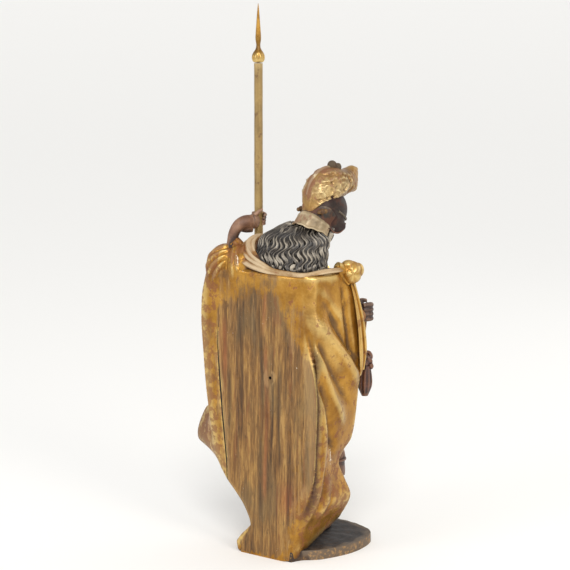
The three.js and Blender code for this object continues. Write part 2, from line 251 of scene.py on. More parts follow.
def soften(piece, grain, passes):
    # melts joined parts into one carved form
    choose(piece)
    piece.data.remesh_voxel_size = grain * mm
    bpy.ops.object.voxel_remesh()
    smooth = piece.modifiers.new("smooth", "SMOOTH")
    smooth.factor = 0.5
    smooth.iterations = passes
    bpy.ops.object.modifier_apply(modifier=smooth.name)
    return piece


def meltTogether(name, parts, grain, passes, material):
    whole = soften(fuse(name, parts), grain, passes)
    return paint(whole, material)


# Finishes

class Wire:
    # a value running through a material; plain maths on it adds Math nodes

    def __init__(self, tree, socket=None):
        self.tree = tree
        self.socket = socket

    def add(self, kind, settings, values, out=0):
        node = self.tree.nodes.new(kind)
        for key, value in settings.items():
            if key == "stops":
                self.setStops(node.color_ramp, value)
            else:
                setattr(node, key, value)
        for key, value in values.items():
            if isinstance(value, Wire):
                self.tree.links.new(value.socket, node.inputs[key])
            else:
                node.inputs[key].default_value = value
        return Wire(self.tree, node.outputs[out])

    def setStops(self, ramp, stops):
        while len(ramp.elements) < len(stops):
            ramp.elements.new(0.5)
        for element, (place, colour) in zip(ramp.elements, stops):
            element.position = place
            element.color = colour

    def maths(self, operation, *others):
        return self.add("ShaderNodeMath", {"operation": operation},
                        dict(enumerate((self,) + others)))

    def __add__(self, other):
        return self.maths("ADD", other)

    __radd__ = __add__

    def __mul__(self, other):
        return self.maths("MULTIPLY", other)

    __rmul__ = __mul__

    def __sub__(self, other):
        return self.maths("SUBTRACT", other)

    def __rsub__(self, other):
        return self.add("ShaderNodeMath", {"operation": "SUBTRACT"}, {0: other, 1: self})

    def between(self, low, high):
        # 0 below low, 1 above high, smooth in the middle
        settings = {"interpolation_type": "SMOOTHSTEP"}
        values = {"Value": self, "From Min": low, "From Max": high}
        return self.add("ShaderNodeMapRange", settings, values, "Result")

    def upTo(self, most=1.0):
        return self.maths("MINIMUM", most).maths("MAXIMUM", 0.0)

    def ramp(self, *stops):
        places = [(place, tone(colour)) for place, colour in stops]
        return self.add("ShaderNodeValToRGB", {"stops": places}, {0: self}, "Color")

    def tint(self, factor, other):
        # this colour, going over to the other one where factor is 1
        other = other if isinstance(other, Wire) else tone(other)
        values = {0: factor, 6: self, 7: other}
        return self.add("ShaderNodeMix", {"data_type": "RGBA"}, values, 2)

    def stretch(self, x, y, z):
        return self.add("ShaderNodeMapping", {}, {"Vector": self, "Scale": (x, y, z)})

    def noise(self, scale, detail=4.0, rough=0.55, distortion=0.0):
        values = {"Vector": self, "Scale": scale, "Detail": detail,
                  "Roughness": rough, "Distortion": distortion}
        return self.add("ShaderNodeTexNoise", {}, values, 0)


def tone(text):
    # a colour as a painter writes it, turned into the light that Blender counts with
    parts = [int(text[i:i + 2], 16) / 255 for i in (1, 3, 5)]
    return tuple(c / 12.92 if c < 0.04045 else ((c + 0.055) / 1.055) ** 2.4 for c in parts) + (1,)


def startFinish(name):
    material = bpy.data.materials.new(name)
    material.use_nodes = True
    wire = Wire(material.node_tree)
    place = wire.add("ShaderNodeTexCoord", {}, {}, "Object")
    return material, place


def readAttribute(wire, name):
    return wire.add("ShaderNodeAttribute", {"attribute_name": name}, {}, "Fac")


def finishWith(material, height, strength, distance, **sockets):
    # sets the shader's sockets; underscores stand for the spaces in their names
    shader = material.node_tree.nodes["Principled BSDF"]
    bumped = height.add("ShaderNodeBump", {}, {"Strength": strength, "Distance": distance,
                                               "Height": height}, "Normal")
    sockets["Normal"] = bumped
    for name, value in sockets.items():
        socket = shader.inputs[name.replace("_", " ")]
        if isinstance(value, Wire):
            material.node_tree.links.new(value.socket, socket)
        else:
            socket.default_value = value
    return material


# leaf: burnished gold in three tones from dark to light; bole: the red clay under it; pale: painted
# highlight on the ridges; the last colour: dirt and painted shade in the hollows
gilding = {
    "cloak": {"leaf": ("#7C5018", "#A67629", "#C1903D"), "bole": "#76401F", "dirtAndShade": "#38200E",
              "pale": "#E6CB85", "rub": 0.60, "shine": 0.33, "metal": 0.62},
    "crest": {"leaf": ("#5E3D22", "#8F6A3A", "#B48E4F"), "bole": "#7C4A33", "dirtAndShade": "#351A0D",
              "pale": "#EDD9A2", "rub": 0.56, "shine": 0.32, "metal": 0.5},
    "rim": {"leaf": ("#6E5E45", "#968263", "#BAA684"), "bole": "#7E5A42", "dirtAndShade": "#2E2118",
            "pale": "#E0CFAC", "rub": 0.59, "shine": 0.45, "metal": 0.22},
    "lance": {"leaf": ("#5C4420", "#806333", "#9E8048"), "bole": "#5E3E24", "dirtAndShade": "#32220F",
              "pale": "#BCA472", "rub": 0.58, "shine": 0.42, "metal": 0.42},
    "lanceHead": {"leaf": ("#77531D", "#A67B32", "#C79F4C"), "bole": "#663E1C", "dirtAndShade": "#34200E",
                  "pale": "#E8CE88", "rub": 0.64, "shine": 0.30, "metal": 0.66},
}


def goldLeaf(place, values, relief, broad):
    # colour, rub-through, painted highlight on ridges, and dirt with painted shade in hollows of worn
    # leaf; relief is above 0.5 on ridges
    wear = readAttribute(place, "wear")
    mottle = place.noise(19, 4, 0.55)
    small = place.noise(150, 4, 0.6)
    leaf = (mottle * 0.8 + small * 0.2).ramp(
        (0.32, values["leaf"][0]), (0.50, values["leaf"][1]), (0.68, values["leaf"][2]))
    rubbed = place.noise(52, 6, 0.68) + (relief - 0.5) * 0.10 + wear * 0.17
    bare = rubbed.between(values["rub"], values["rub"] + 0.09)
    speck = place.noise(430, 3, 0.6).between(0.60, 0.70) * place.noise(30, 3).between(0.45, 0.65)
    # painted highlight: paler leaf on fine ridges and broad swellings
    bright = (relief * 0.6 + broad * 0.4 + (small - 0.5) * 0.12).between(0.54, 0.95)
    # painted shade mixed with dirt: darker in the fine and the broad hollows
    deep = 1 - (relief * 0.5 + broad * 0.5 + (small - 0.5) * 0.15).between(0.16, 0.49)
    colour = leaf.tint(bright * 0.62, values["pale"])
    # painted highlight along the marked fold ridges and crest lobes
    lit = (readAttribute(place, "light") * (small + 0.25)).upTo()
    colour = colour.tint(lit * 0.5, values["pale"])
    colour = colour.tint((bare * 0.72).upTo(), values["bole"])
    colour = colour.tint(speck * 0.5, values["bole"])
    colour = colour.tint((deep * 0.8).upTo(), values["dirtAndShade"])
    return colour, bare, deep, small


def gildedFinish(name):
    values = gilding[name]
    material, place = startFinish(name + "Gilding")
    relief = readAttribute(place, "relief")
    broad = readAttribute(place, "broad")
    colour, bare, deep, small = goldLeaf(place, values, relief, broad)
    roughness = values["shine"] + bare * 0.25 + deep * 0.3 + (small - 0.5) * 0.2
    metallic = (values["metal"] * (1 - bare * 0.75) * (1 - deep * 0.8)).upTo()
    height = place.noise(60, 5, 0.55) * 0.6 + place.noise(320, 4, 0.6) * 0.2 - bare * 0.3
    return finishWith(material, height, 0.5, 0.0009, Base_Color=colour, Roughness=roughness,
                      Metallic=metallic, IOR=1.5)


cloakWood = {
    "tan": ("#452D12", "#7B5629", "#A88043"), "grey": "#655233", "red": "#74401C",
    "rust": "#96532A", "dark": "#3A2613", "pale": "#BE9C68", "chalk": "#E6DAC4",
    "soil": "#40241A",
}


def cloakFinish():
    # worn leaf on the folds, going over to bare, gouged and streaked wood on the flat back
    values = gilding["cloak"]
    material, place = startFinish("cloakGildingAndWood")
    relief = readAttribute(place, "relief")
    broad = readAttribute(place, "broad")
    gold, rubbed, deep, small = goldLeaf(place, values, relief, broad)
    grain = place.stretch(1, 1, 0.10).noise(250, 6, 0.7, 0.3)
    streaks = place.stretch(1, 0.4, 0.06).noise(90, 5, 0.65, 0.5)
    marks = place.stretch(1, 1, 0.35).noise(120, 5, 0.72).between(0.60, 0.70)
    patches = place.stretch(1, 1, 0.45).noise(17, 4, 0.6)
    wood = (streaks * 0.55 + grain * 0.45).ramp(
        (0.38, cloakWood["tan"][0]), (0.50, cloakWood["tan"][1]), (0.61, cloakWood["tan"][2]))
    wood = wood.tint(patches.between(0.46, 0.66) * 0.55, cloakWood["grey"])
    redness = place.stretch(1, 1, 0.10).noise(40, 4, 0.7, 0.8).between(0.57, 0.70)
    wood = wood.tint(redness * 0.6, cloakWood["red"])
    wood = wood.tint((readAttribute(place, "rust") * (grain + 0.35)).upTo() * 0.65, cloakWood["rust"])
    soot = (readAttribute(place, "streaks") * (grain * 1.3 + 0.25)).upTo()
    wood = wood.tint(soot * 0.85, cloakWood["dark"])
    wood = wood.tint(marks * 0.6, cloakWood["dark"])
    # painted highlight: paler on the ridges of the bare wood
    arris = (relief + (grain - 0.5) * 0.3).between(0.53, 0.72)
    wood = wood.tint(arris * 0.30, cloakWood["pale"])
    # painted shade: darker in the gouges and hollows of the bare wood
    wood = wood.tint((1 - relief.between(0.12, 0.42)) * 0.7, cloakWood["dark"])
    leftover = place.stretch(1, 1, 0.4).noise(34, 6, 0.7)
    bareness = readAttribute(place, "bare") + (leftover - 0.5) * 0.9 + (grain - 0.5) * 0.35
    bare = bareness.between(0.40, 0.60)
    colour = gold.tint(bare, wood)
    chips = readAttribute(place, "chip") + (place.noise(150, 5, 0.7) - 0.5) * 2.2
    chalk = chips.between(0.56, 0.70)
    colour = colour.tint(chalk * 0.9, cloakWood["chalk"])
    flecks = place.noise(260, 3, 0.7).between(0.67, 0.73) * place.noise(22, 3).between(0.5, 0.62)
    colour = colour.tint(flecks * 0.7, cloakWood["chalk"])
    # darker at the hem and the cloak's point, painted shade in the deep groove beside the back
    soil = (readAttribute(place, "soil") * (small + 0.45)).upTo()
    colour = colour.tint(soil * 0.85, cloakWood["soil"])
    metallic = (values["metal"] * (1 - rubbed * 0.75) * (1 - deep * 0.8) * (1 - bare * 0.92)
                * (1 - chalk)).upTo()
    roughness = (values["shine"] + rubbed * 0.22 + deep * 0.25 + (small - 0.5) * 0.2
                 + bare * 0.34).upTo(0.95)
    height = (place.noise(60, 5, 0.55) * 0.5 + place.noise(320, 4, 0.6) * 0.2 - rubbed * 0.3
              + bare * (grain * 1.5 + streaks * 0.9 - 0.8) - chalk * 0.5)
    return finishWith(material, height, 0.55, 0.0012, Base_Color=colour, Roughness=roughness,
                      Metallic=metallic, IOR=1.5)


def hairFinish():
    material, place = startFinish("hairPaint")
    relief = readAttribute(place, "relief")
    small = place.noise(260, 5, 0.65)
    patches = place.noise(45, 4, 0.6)
    # painted shade between the strands and a painted highlight on their ridges
    colour = (relief * 0.85 + small * 0.35 - 0.10).ramp(
        (0.34, "#0C0908"), (0.52, "#29241F"), (0.69, "#5A534A"), (0.94, "#B3A997"))
    colour = colour.tint(patches.between(0.48, 0.7) * 0.35, "#3A3029")
    roughness = 0.38 + small * 0.2
    height = small * 0.7 + place.noise(700, 3) * 0.3
    return finishWith(material, height, 0.45, 0.0008, Base_Color=colour, Roughness=roughness)


def fleshFinish():
    # painted skin, browned and rubbed with age
    material, place = startFinish("fleshPaint")
    relief = readAttribute(place, "relief")
    patches = place.noise(36, 5, 0.62)
    small = place.noise(240, 4, 0.6)
    wear = readAttribute(place, "wear")
    colour = patches.ramp((0.32, "#75503A"), (0.5, "#946A50"), (0.68, "#B38A6C"))
    worn = (place.noise(90, 5, 0.7) + (relief - 0.5) * 0.2).between(0.58, 0.68)
    colour = colour.tint(worn * 0.6, "#633C24")
    # dark brown on the marked spots: darker right hand and left fingers, painted shade under the left
    # wrist
    colour = colour.tint((wear * (place.noise(70, 4) + 0.45)).upTo(0.95), "#2C1B15")
    # painted shade in the hollows and a painted highlight on the ridges
    colour = colour.tint((1 - relief.between(0.16, 0.44)) * 0.75, "#2E1A12")
    colour = colour.tint(relief.between(0.62, 0.9) * 0.35, "#D0A98C")
    roughness = 0.42 + small * 0.2 + worn * 0.15
    height = patches * 0.4 + small * 0.25 - worn * 0.4
    return finishWith(material, height, 0.4, 0.0008, Base_Color=colour, Roughness=roughness)


def darkMetalFinish():
    # silver leaf that has gone black-brown
    material, place = startFinish("tarnishedSilver")
    relief = readAttribute(place, "relief")
    broad = readAttribute(place, "broad")
    patches = place.noise(32, 5, 0.62)
    small = place.noise(210, 5, 0.62)
    colour = (patches * 0.7 + small * 0.3).ramp(
        (0.32, "#1D1916"), (0.48, "#2F2924"), (0.60, "#443B34"), (0.74, "#5F5343"))
    brown = place.noise(30, 5, 0.65).between(0.47, 0.62)
    colour = colour.tint(brown * 0.6, "#693F2A")
    # painted highlight: paler on ridges and swellings
    edge = (relief * 0.7 + broad * 0.3 + (small - 0.5) * 0.3).between(0.58, 0.84)
    colour = colour.tint(edge * 0.4, "#93826A")
    # painted shadow: dark red-brown in the hollows
    colour = colour.tint((1 - relief.between(0.2, 0.46)) * 0.8, "#290F0B")
    roughness = 0.36 + small * 0.22 + brown * 0.15
    height = patches * 0.4 + small * 0.4
    return finishWith(material, height, 0.4, 0.0009, Base_Color=colour, Roughness=roughness,
                      Metallic=0.45)


def darkLeatherFinish():
    # red-brown glaze of the boots, the knot and the sash end
    material, place = startFinish("redBrownGlaze")
    relief = readAttribute(place, "relief")
    patches = place.noise(40, 5, 0.6)
    small = place.noise(240, 4, 0.6)
    colour = patches.ramp((0.32, "#21120E"), (0.52, "#3A1F17"), (0.7, "#582F21"))
    # painted highlight on the ridges and painted shade in the hollows
    colour = colour.tint((relief * 0.8 + small * 0.25).between(0.6, 0.86) * 0.5, "#8A5C3E")
    colour = colour.tint((1 - relief.between(0.2, 0.46)) * 0.8, "#150B07")
    roughness = 0.35 + small * 0.25
    height = patches * 0.4 + small * 0.35
    return finishWith(material, height, 0.4, 0.0009, Base_Color=colour, Roughness=roughness,
                      Coat_Weight=0.25, Coat_Roughness=0.3)


def groundFinish():
    # the base: nearly black carved ground, its rim rubbed to brown and ochre
    material, place = startFinish("darkGround")
    relief = readAttribute(place, "relief")
    streaks = place.stretch(0.35, 1, 1).noise(90, 5, 0.65, 0.6)
    patches = place.noise(28, 5, 0.62)
    small = place.noise(260, 4, 0.62)
    colour = (streaks * 0.6 + small * 0.4).ramp(
        (0.34, "#100C0A"), (0.5, "#221C19"), (0.62, "#3C342F"), (0.74, "#6A5E53"))
    rim = readAttribute(place, "rim")
    brown = (patches * 0.6 + streaks * 0.4).ramp(
        (0.36, "#21160F"), (0.5, "#3A291B"), (0.66, "#5E4429"))
    colour = colour.tint(rim, brown)
    ochre = (place.noise(130, 6, 0.7) + rim * 0.10 + (relief - 0.5) * 0.2).between(0.69, 0.77)
    colour = colour.tint((ochre * (rim * 0.8 + 0.15)).upTo(), "#A87B38")
    # painted highlight on the ridges and painted shade in the cut hollows
    colour = colour.tint(relief.between(0.62, 0.9) * 0.4, "#85725C")
    colour = colour.tint((1 - relief.between(0.2, 0.46)) * 0.7, "#0E0A08")
    roughness = 0.46 + small * 0.25
    height = streaks * 0.8 + small * 0.4
    return finishWith(material, height, 0.55, 0.0014, Base_Color=colour, Roughness=roughness)


def collarFinish():
    # the turned-out lining at the neck: pale, worn, with a painted highlight on its lip and painted
    # shade in its valleys
    material, place = startFinish("paleLining")
    relief = readAttribute(place, "relief")
    broad = readAttribute(place, "broad")
    patches = place.noise(34, 5, 0.6)
    small = place.noise(220, 4, 0.6)
    colour = (patches * 0.6 + small * 0.4).ramp(
        (0.34, "#7D5A33"), (0.50, "#9B7C52"), (0.66, "#B39A74"))
    colour = colour.tint(readAttribute(place, "wear") * 0.75, "#8A5B26")
    worn = (place.noise(70, 6, 0.7) + (0.5 - relief) * 0.35).between(0.55, 0.66)
    colour = colour.tint(worn * 0.7, "#8A5A34")
    # painted highlight on the lip and ridges, painted shade in the valleys
    colour = colour.tint((relief * 0.7 + broad * 0.3).between(0.58, 0.86) * 0.55, "#DCC8A6")
    colour = colour.tint((1 - relief.between(0.24, 0.50)) * 0.85, "#4C2D17")
    roughness = 0.5 + small * 0.2
    height = patches * 0.4 + small * 0.4
    return finishWith(material, height, 0.5, 0.001, Base_Color=colour, Roughness=roughness,
                      Metallic=0.12)


finish = {
    "cloak": cloakFinish(), "crest": gildedFinish("crest"), "rim": gildedFinish("rim"),
    "lance": gildedFinish("lance"), "lanceHead": gildedFinish("lanceHead"),
    "gold": gildedFinish("cloak"), "hair": hairFinish(), "flesh": fleshFinish(),
    "steel": darkMetalFinish(), "leather": darkLeatherFinish(), "ground": groundFinish(),
    "collar": collarFinish(),
}
print("finishes mixed")


# Cloak

cloakShape = {
    "around": 176, "rows": 168, "top": 624, "domed": 14, "middle": (5, 25),
    "backPlane": 100, "backLean": 10, "leanHeight": 600,
    "hemFar": 160, "hemRise": 66,
    # outlines as height and place across, from the floor up
    "backLeftX": [(0, 60), (30, 48), (64, 33), (103, 50), (130, 73), (159, 101), (200, 122),
                  (260, 135), (300, 143), (350, 153), (412, 162), (500, 169), (600, 169),
                  (640, 154)],
    "backRightX": [(0, -80), (60, -92), (120, -118), (165, -131), (257, -137), (366, -138),
                   (486, -123), (560, -116), (640, -112)],
    "rightFrontX": [(0, -76), (60, -90), (119, -121), (159, -114), (200, -115), (250, -124),
                    (336, -136), (400, -138), (470, -140), (560, -138), (640, -126)],
    "rightFrontY": [(0, -54), (60, -64), (119, -64), (159, -52), (200, -26), (225, -36),
                    (250, -62), (336, -66), (400, -68), (470, -66), (560, -56), (640, -40)],
    "leftFrontX": [(0, 40), (60, 52), (119, 92), (164, 140), (178, 178), (190, 200), (211, 224),
                   (227, 227), (245, 226), (272, 219), (292, 206), (306, 180), (322, 161),
                   (400, 160), (520, 164), (600, 156), (640, 134)],
    "leftFrontY": [(0, 40), (60, 24), (180, 14), (226, 40), (300, 20), (450, 12), (640, 12)],
    # the turn round the cloak at each corner, from the back's left corner and round the right
    "corners": [0, 0.24, 0.6, 0.66, 0.76, 0.83, 1],
    # share of the columns, and the turn round the cloak that they reach
    "columns": [(0, 0), (0.33, 0.24), (0.72, 0.6), (0.78, 0.66), (0.84, 0.76), (0.89, 0.83),
                (1, 1)],
    "arrisRound": 4, "arrisWidth": 10,
}
# the back's lean as a rounded slope, for outlines that are drawn on it
backSlope = 0.0167

# folds of the right wall: height, width on either side, and their line as distance from the
# back's corner and height above the floor
wallFolds = [
    (14, 18, 24, [(10, 548), (44, 492), (86, 447), (128, 398), (150, 352)]),
    (9, 10, 14, [(8, 482), (26, 428), (51, 371), (85, 321), (112, 284)]),
    (-7, 10, 12, [(14, 505), (30, 462), (60, 414), (98, 362), (126, 326)]),
    (-11, 11, 15, [(6, 420), (32, 360), (48, 305), (68, 258), (84, 220)]),
    (-8, 10, 14, [(52, 545), (92, 482), (134, 436), (158, 405)]),
    (4, 12, 14, [(24, 600), (58, 560), (106, 512)]),
    (-3, 9, 11, [(40, 575), (68, 530), (96, 500)]),
    (-9, 8, 8, [(98, 604), (108, 560), (113, 515), (136, 430), (150, 405)]),
    (-13, 4.5, 5, [(7, 500), (9, 366), (10, 257), (9, 172), (8, 110)]),
    (7, 11, 13, [(18, 410), (30, 350), (33, 293), (33, 206), (22, 140), (18, 95)]),
    (-4, 7, 8, [(46, 215), (48, 150), (38, 100)]),
    (5, 11, 11, [(64, 185), (68, 130), (54, 84)]),
    (-3, 7, 8, [(84, 155), (86, 118), (74, 84)]),
    (4, 9, 10, [(10, 240), (14, 190), (10, 130)]),
]

leftFolds = [
    (5, 12, 12, [(18, 570), (22, 430), (14, 330), (10, 250)]),
    (-5, 9, 9, [(38, 560), (44, 420), (42, 320), (46, 240)]),
    (6, 11, 12, [(60, 570), (64, 430), (68, 330), (72, 240)]),
]

backMarks = {
    "crack": [(124, 490), (124, 457), (113, 331), (98, 202), (96, 164), (90, 128)],
    "crackRadii": [0.8, 1.7, 2.2, 2.1, 2.2, 1.8, 0.6],
    "hole": (-18, 394), "holeRadius": 3.5,
    "gougeWidths": (13, 29), "gougeDepth": 1.0,
    # dark streaks and red-brown streaks: place across, width, lower and upper end
    "streaks": [(4, 4, 90, 500), (-43, 4, 190, 440), (60, 3.5, 300, 560), (24, 3, 430, 600),
                (92, 5, 240, 420), (-118, 4, 150, 330), (-70, 3, 60, 180), (-12, 2.5, 130, 420)],
    "rust": [(-8, 5, 120, 470), (-2, 4, 480, 590), (-30, 8, 500, 540), (104, 6, 380, 520),
             (-66, 20, 90, 180)],
    "chips": [((76, 82, 646), (70, 86, 628), 5.5), ((62, 88, 612), (57, 90, 602), 5),
              ((-88, 92, 427), (-86, 92, 420), 2.4), ((-134, 32, 286), (-128, 24, 236), 6),
              ((-130, 26, 236), (-122, 18, 205), 6), ((4, 91, 507), (-2, 91, 507), 1.6),
              ((-32, 91, 511), (-46, 91, 511), 1.6)],
}


def cloakCorners(z):
    s = cloakShape
    back = s["backPlane"] - s["backLean"] * np.minimum(z, s["leanHeight"]) / s["leanHeight"]
    hollow = np.where(z < 380, -6, mix(-6, -30, (z - 380) / 260))
    frontX = reading(s["rightFrontX"], z)
    lowLeft = reading(s["leftFrontX"], np.minimum(z, 180)) * 0.5
    corners = [
        (reading(s["backLeftX"], z), back), (reading(s["backRightX"], z), back),
        (frontX, reading(s["rightFrontY"], z)), (frontX + 30, hollow),
        (lowLeft, np.full_like(z, 8)),
        (reading(s["leftFrontX"], z), reading(s["leftFrontY"], z)),
    ]
    return np.array([np.stack(corner, axis=1) for corner in corners])


def cloakEdge(corners, turn):
    turns = np.array(cloakShape["corners"])
    at = turn % 1
    i = np.clip(np.searchsorted(turns, at, side="right") - 1, 0, 5)
    share = ((at - turns[i]) / (turns[i + 1] - turns[i]))[:, None]
    n = np.arange(len(at))
    return mix(corners[i, n], corners[(i + 1) % 6, n], share)


def foldField(points, folds):
    # height of drawn folds at each point, fading out at their ends
    height = np.zeros(len(points))
    for rise, before, after, line in folds:
        distance, share, side = nearLine(points, line)
        width = np.where(side < 0, before, after)
        fade = smoothStep(share, 0, 0.26) * (1 - smoothStep(share, 0.78, 1) * 0.9)
        height += rise * fade * np.exp(-((distance / width) ** 2))
    return height


def gouges(across, z):
    # shallow hollows of a gouge down the back, uneven in width and depth, wandering a little
    random.seed(5)
    waves = [(random.uniform(0.004, 0.014), random.uniform(0, 6.3)) for _ in range(3)]
    drift = sum(1.8 * np.sin(z * pace + start + across * 0.013) for pace, start in waves)
    edges = [-190]
    while edges[-1] < 210:
        edges.append(edges[-1] + random.uniform(*backMarks["gougeWidths"]))
    depths = np.array([random.uniform(0.4, 1.3) for _ in edges])
    edges = np.array(edges)
    column = np.clip(np.searchsorted(edges, across + drift) - 1, 0, len(edges) - 2)
    inside = (across + drift - edges[column]) / (edges[column + 1] - edges[column])
    strength = depths[column] * (0.7 + 0.5 * np.sin(column * 2.4 + z * 0.011))
    return -backMarks["gougeDepth"] * strength * (1 - (2 * inside - 1) ** 2)


def cloakPlace(turnShare, step):
    s = cloakShape
    rightCorner, frontCorner = s["corners"][1:3]
    turn = np.interp(turnShare, *np.array(s["columns"]).T)
    z = s["top"] * (1 - (1 - step) ** 1.04)
    corners = cloakCorners(z)
    softness = mix(0.010, 0.045, smoothStep(z, 540, 630))
    # the right corner of the back loses its edge near the floor and at the shoulder
    nearCorner = bump(turn, rightCorner, 0.12)
    softness += 0.05 * (1 - smoothStep(z, 110, 200)) * nearCorner
    softness += 0.045 * smoothStep(z, 400, 500) * nearCorner
    spread = np.linspace(-1, 1, 9)
    point = sum(cloakEdge(corners, turn + softness * offset) for offset in spread) / len(spread)
    along = cloakEdge(corners, turn + 0.03) - cloakEdge(corners, turn - 0.03)
    along /= np.linalg.norm(along, axis=1)[:, None]
    # distance from the back's right corner: negative on the back, positive along the wall
    wallShare = (turn - rightCorner) / (frontCorner - rightCorner)
    across = np.where(turn < rightCorner, reading(s["backRightX"], z) - point[:, 0],
                      wallShare * (corners[1, :, 1] - corners[2, :, 1]))
    onWall = smoothStep(turn, 0.13, 0.22) * (1 - smoothStep(turn, 0.585, 0.63))
    depth = np.zeros(len(turn))
    wall = onWall > 0
    depth[wall] = foldField(np.stack([across, z], axis=1)[wall], wallFolds) * onWall[wall]
    # the arris beside the deep groove is rounded over
    arris = bump(across, 0, s["arrisWidth"]) * smoothStep(z, 110, 170)
    depth -= s["arrisRound"] * arris * (1 - smoothStep(z, 470, 520))
    onBack = smoothStep(turn, 0.0, 0.02) * (1 - smoothStep(turn, 0.225, 0.24))
    lowOnly = (1 - smoothStep(z, 540, 600)) * (0.3 + 0.7 * smoothStep(z, 30, 110))
    depth += gouges(point[:, 0], z) * onBack * lowOnly
    left = turn > 0.84
    fromBack = (s["backPlane"] - point[:, 1])[left]
    depth[left] += foldField(np.stack([fromBack, z[left]], axis=1), leftFolds)
    front = smoothStep(turn, 0.63, 0.66) * (1 - smoothStep(turn, 0.80, 0.83))
    depth += front * 5 * np.sin(turn * 170 + z * 0.01) * bump(z, 250, 200)
    over = np.clip((z - (s["top"] - s["domed"])) / s["domed"], 0, 1)
    shrink = np.sqrt(1 - over * over * 0.62)[:, None]
    x = point[:, 0] + along[:, 1] * depth
    y = point[:, 1] - along[:, 0] * depth
    middle = np.array(s["middle"])
    flat = (np.stack([x, y], axis=1) - middle) * shrink + middle
    return np.column_stack([flat, z])


def keepAbove(piece, point, normal):
    # cuts the piece along a plane and keeps the side that the normal points to
    choose(piece)
    bpy.ops.object.mode_set(mode="EDIT")
    bpy.ops.mesh.select_all(action="SELECT")
    bpy.ops.mesh.bisect(plane_co=Vector(point) * mm, plane_no=normal, use_fill=True,
                        clear_inner=True)
    bpy.ops.object.mode_set(mode="OBJECT")
    return piece


def cloakFoot():
    # the solid wedge at the back, spreading to the corners of the base
    outline = [(-70, 0), (68, 0), (74, 21), (61, 38), (45, 53), (26, 74), (-76, 60)]
    wall = {"back": 98.2, "thickness": 34, "edge": 6}
    deselectAll()
    bpy.ops.mesh.primitive_circle_add(vertices=len(outline), radius=1, fill_type="NGON")
    piece = bpy.context.object
    piece.name = piece.data.name = "cloakFoot"
    points = np.array([(x, wall["back"] - z * backSlope, z) for x, z in outline], float)
    placePoints(piece, points * mm)
    bpy.ops.object.mode_set(mode="EDIT")
    bpy.ops.mesh.select_all(action="SELECT")
    bpy.ops.mesh.extrude_region_move(
        TRANSFORM_OT_translate={"value": (0, -wall["thickness"] * mm, 0)})
    bpy.ops.mesh.select_all(action="SELECT")
    bpy.ops.mesh.normals_make_consistent(inside=False)
    bpy.ops.mesh.bevel(offset=wall["edge"] * mm, segments=3)
    bpy.ops.object.mode_set(mode="OBJECT")
    return paint(piece, finish["cloak"])


def makeCloak():
    s = cloakShape
    piece = wrapSkin("cloak", s["around"], s["rows"], cloakPlace, finish["cloak"])
    rise = s["hemRise"] / s["hemFar"]
    keepAbove(piece, (0, s["backPlane"], 0), (0, rise, 1))
    return fuse("cloak", [piece, cloakFoot()])


# Collar, shoulder and trimmings on the shoulders

collarShape = {
    "line": [(62, -30, 662), (74, 8, 669), (70, 44, 652), (42, 69, 633), (-10, 80, 621),
             (-52, 79, 617), (-92, 69, 617), (-120, 28, 623), (-127, -26, 622)],
    "radii": [10, 17, 20, 15, 8.5, 6.2, 5.5, 5.5, 6],
    "around": 30, "rows": 120,
}


def collarSection(angle, step):
    # a sharp lower lip, and pleats along the band above it
    lip = 0.30 * bump(((angle + np.pi * 1.12) % (2 * np.pi)) - np.pi, 0, 0.30)
    pleats = 0.12 * np.cos(angle * 9 + step * 5) * (1 - smoothStep(step, 0.3, 0.6))
    waver = 0.06 * np.sin(step * 31 + angle)
    return 1 + lip + pleats + waver


def makeCollar():
    s = collarShape
    return carveLimb("collar", s["line"], s["radii"], s["around"], s["rows"], finish["collar"],
                     thinAlong=(0, 0, 1), section=collarSection)


shoulderFolds = [
    (3.0, 3, 3.5, [(100, 664), (122, 660), (146, 650), (168, 628)]),
    (-2.6, 3, 3, [(100, 660), (122, 655), (146, 643), (168, 618)]),
    (3.4, 3, 3.5, [(100, 656), (122, 650), (146, 635), (168, 606)]),
    (-2.8, 3, 3, [(102, 651), (122, 644), (144, 626), (164, 596)]),
    (3.4, 3, 3.5, [(102, 647), (122, 637), (142, 616), (158, 588)]),
    (-3.0, 3, 3, [(104, 642), (120, 630), (138, 607), (150, 580)]),
    (3.0, 3, 4, [(104, 636), (118, 620), (132, 598), (142, 574)]),
    (-3.0, 3, 3, [(104, 630), (114, 612), (124, 588), (130, 566)]),
]


def displaced(piece, folds, flatten, outward):
    # raises drawn folds on a piece, seen flat along one direction
    points = pointsOf(piece) / mm
    normals = normalsOf(piece)
    facing = smoothStep(normals @ np.array(outward, float), 0.05, 0.5)
    height = foldField(points[:, flatten], folds) * facing
    placePoints(piece, (points + normals * height[:, None]) * mm)
    return piece


neckFolds = [
    (2.4, 3, 3.6, [(102, 672), (92, 650), (84, 622), (80, 596)]),
    (-2, 3, 3, [(92, 676), (80, 652), (72, 626)]),
    (2.4, 3, 3.6, [(84, 676), (70, 655), (58, 636), (44, 620)]),
    (-2, 3, 3, [(74, 674), (60, 652), (46, 636), (30, 624)]),
    (-2.4, 3, 3, [(112, 668), (104, 640), (98, 606), (96, 580)]),
]


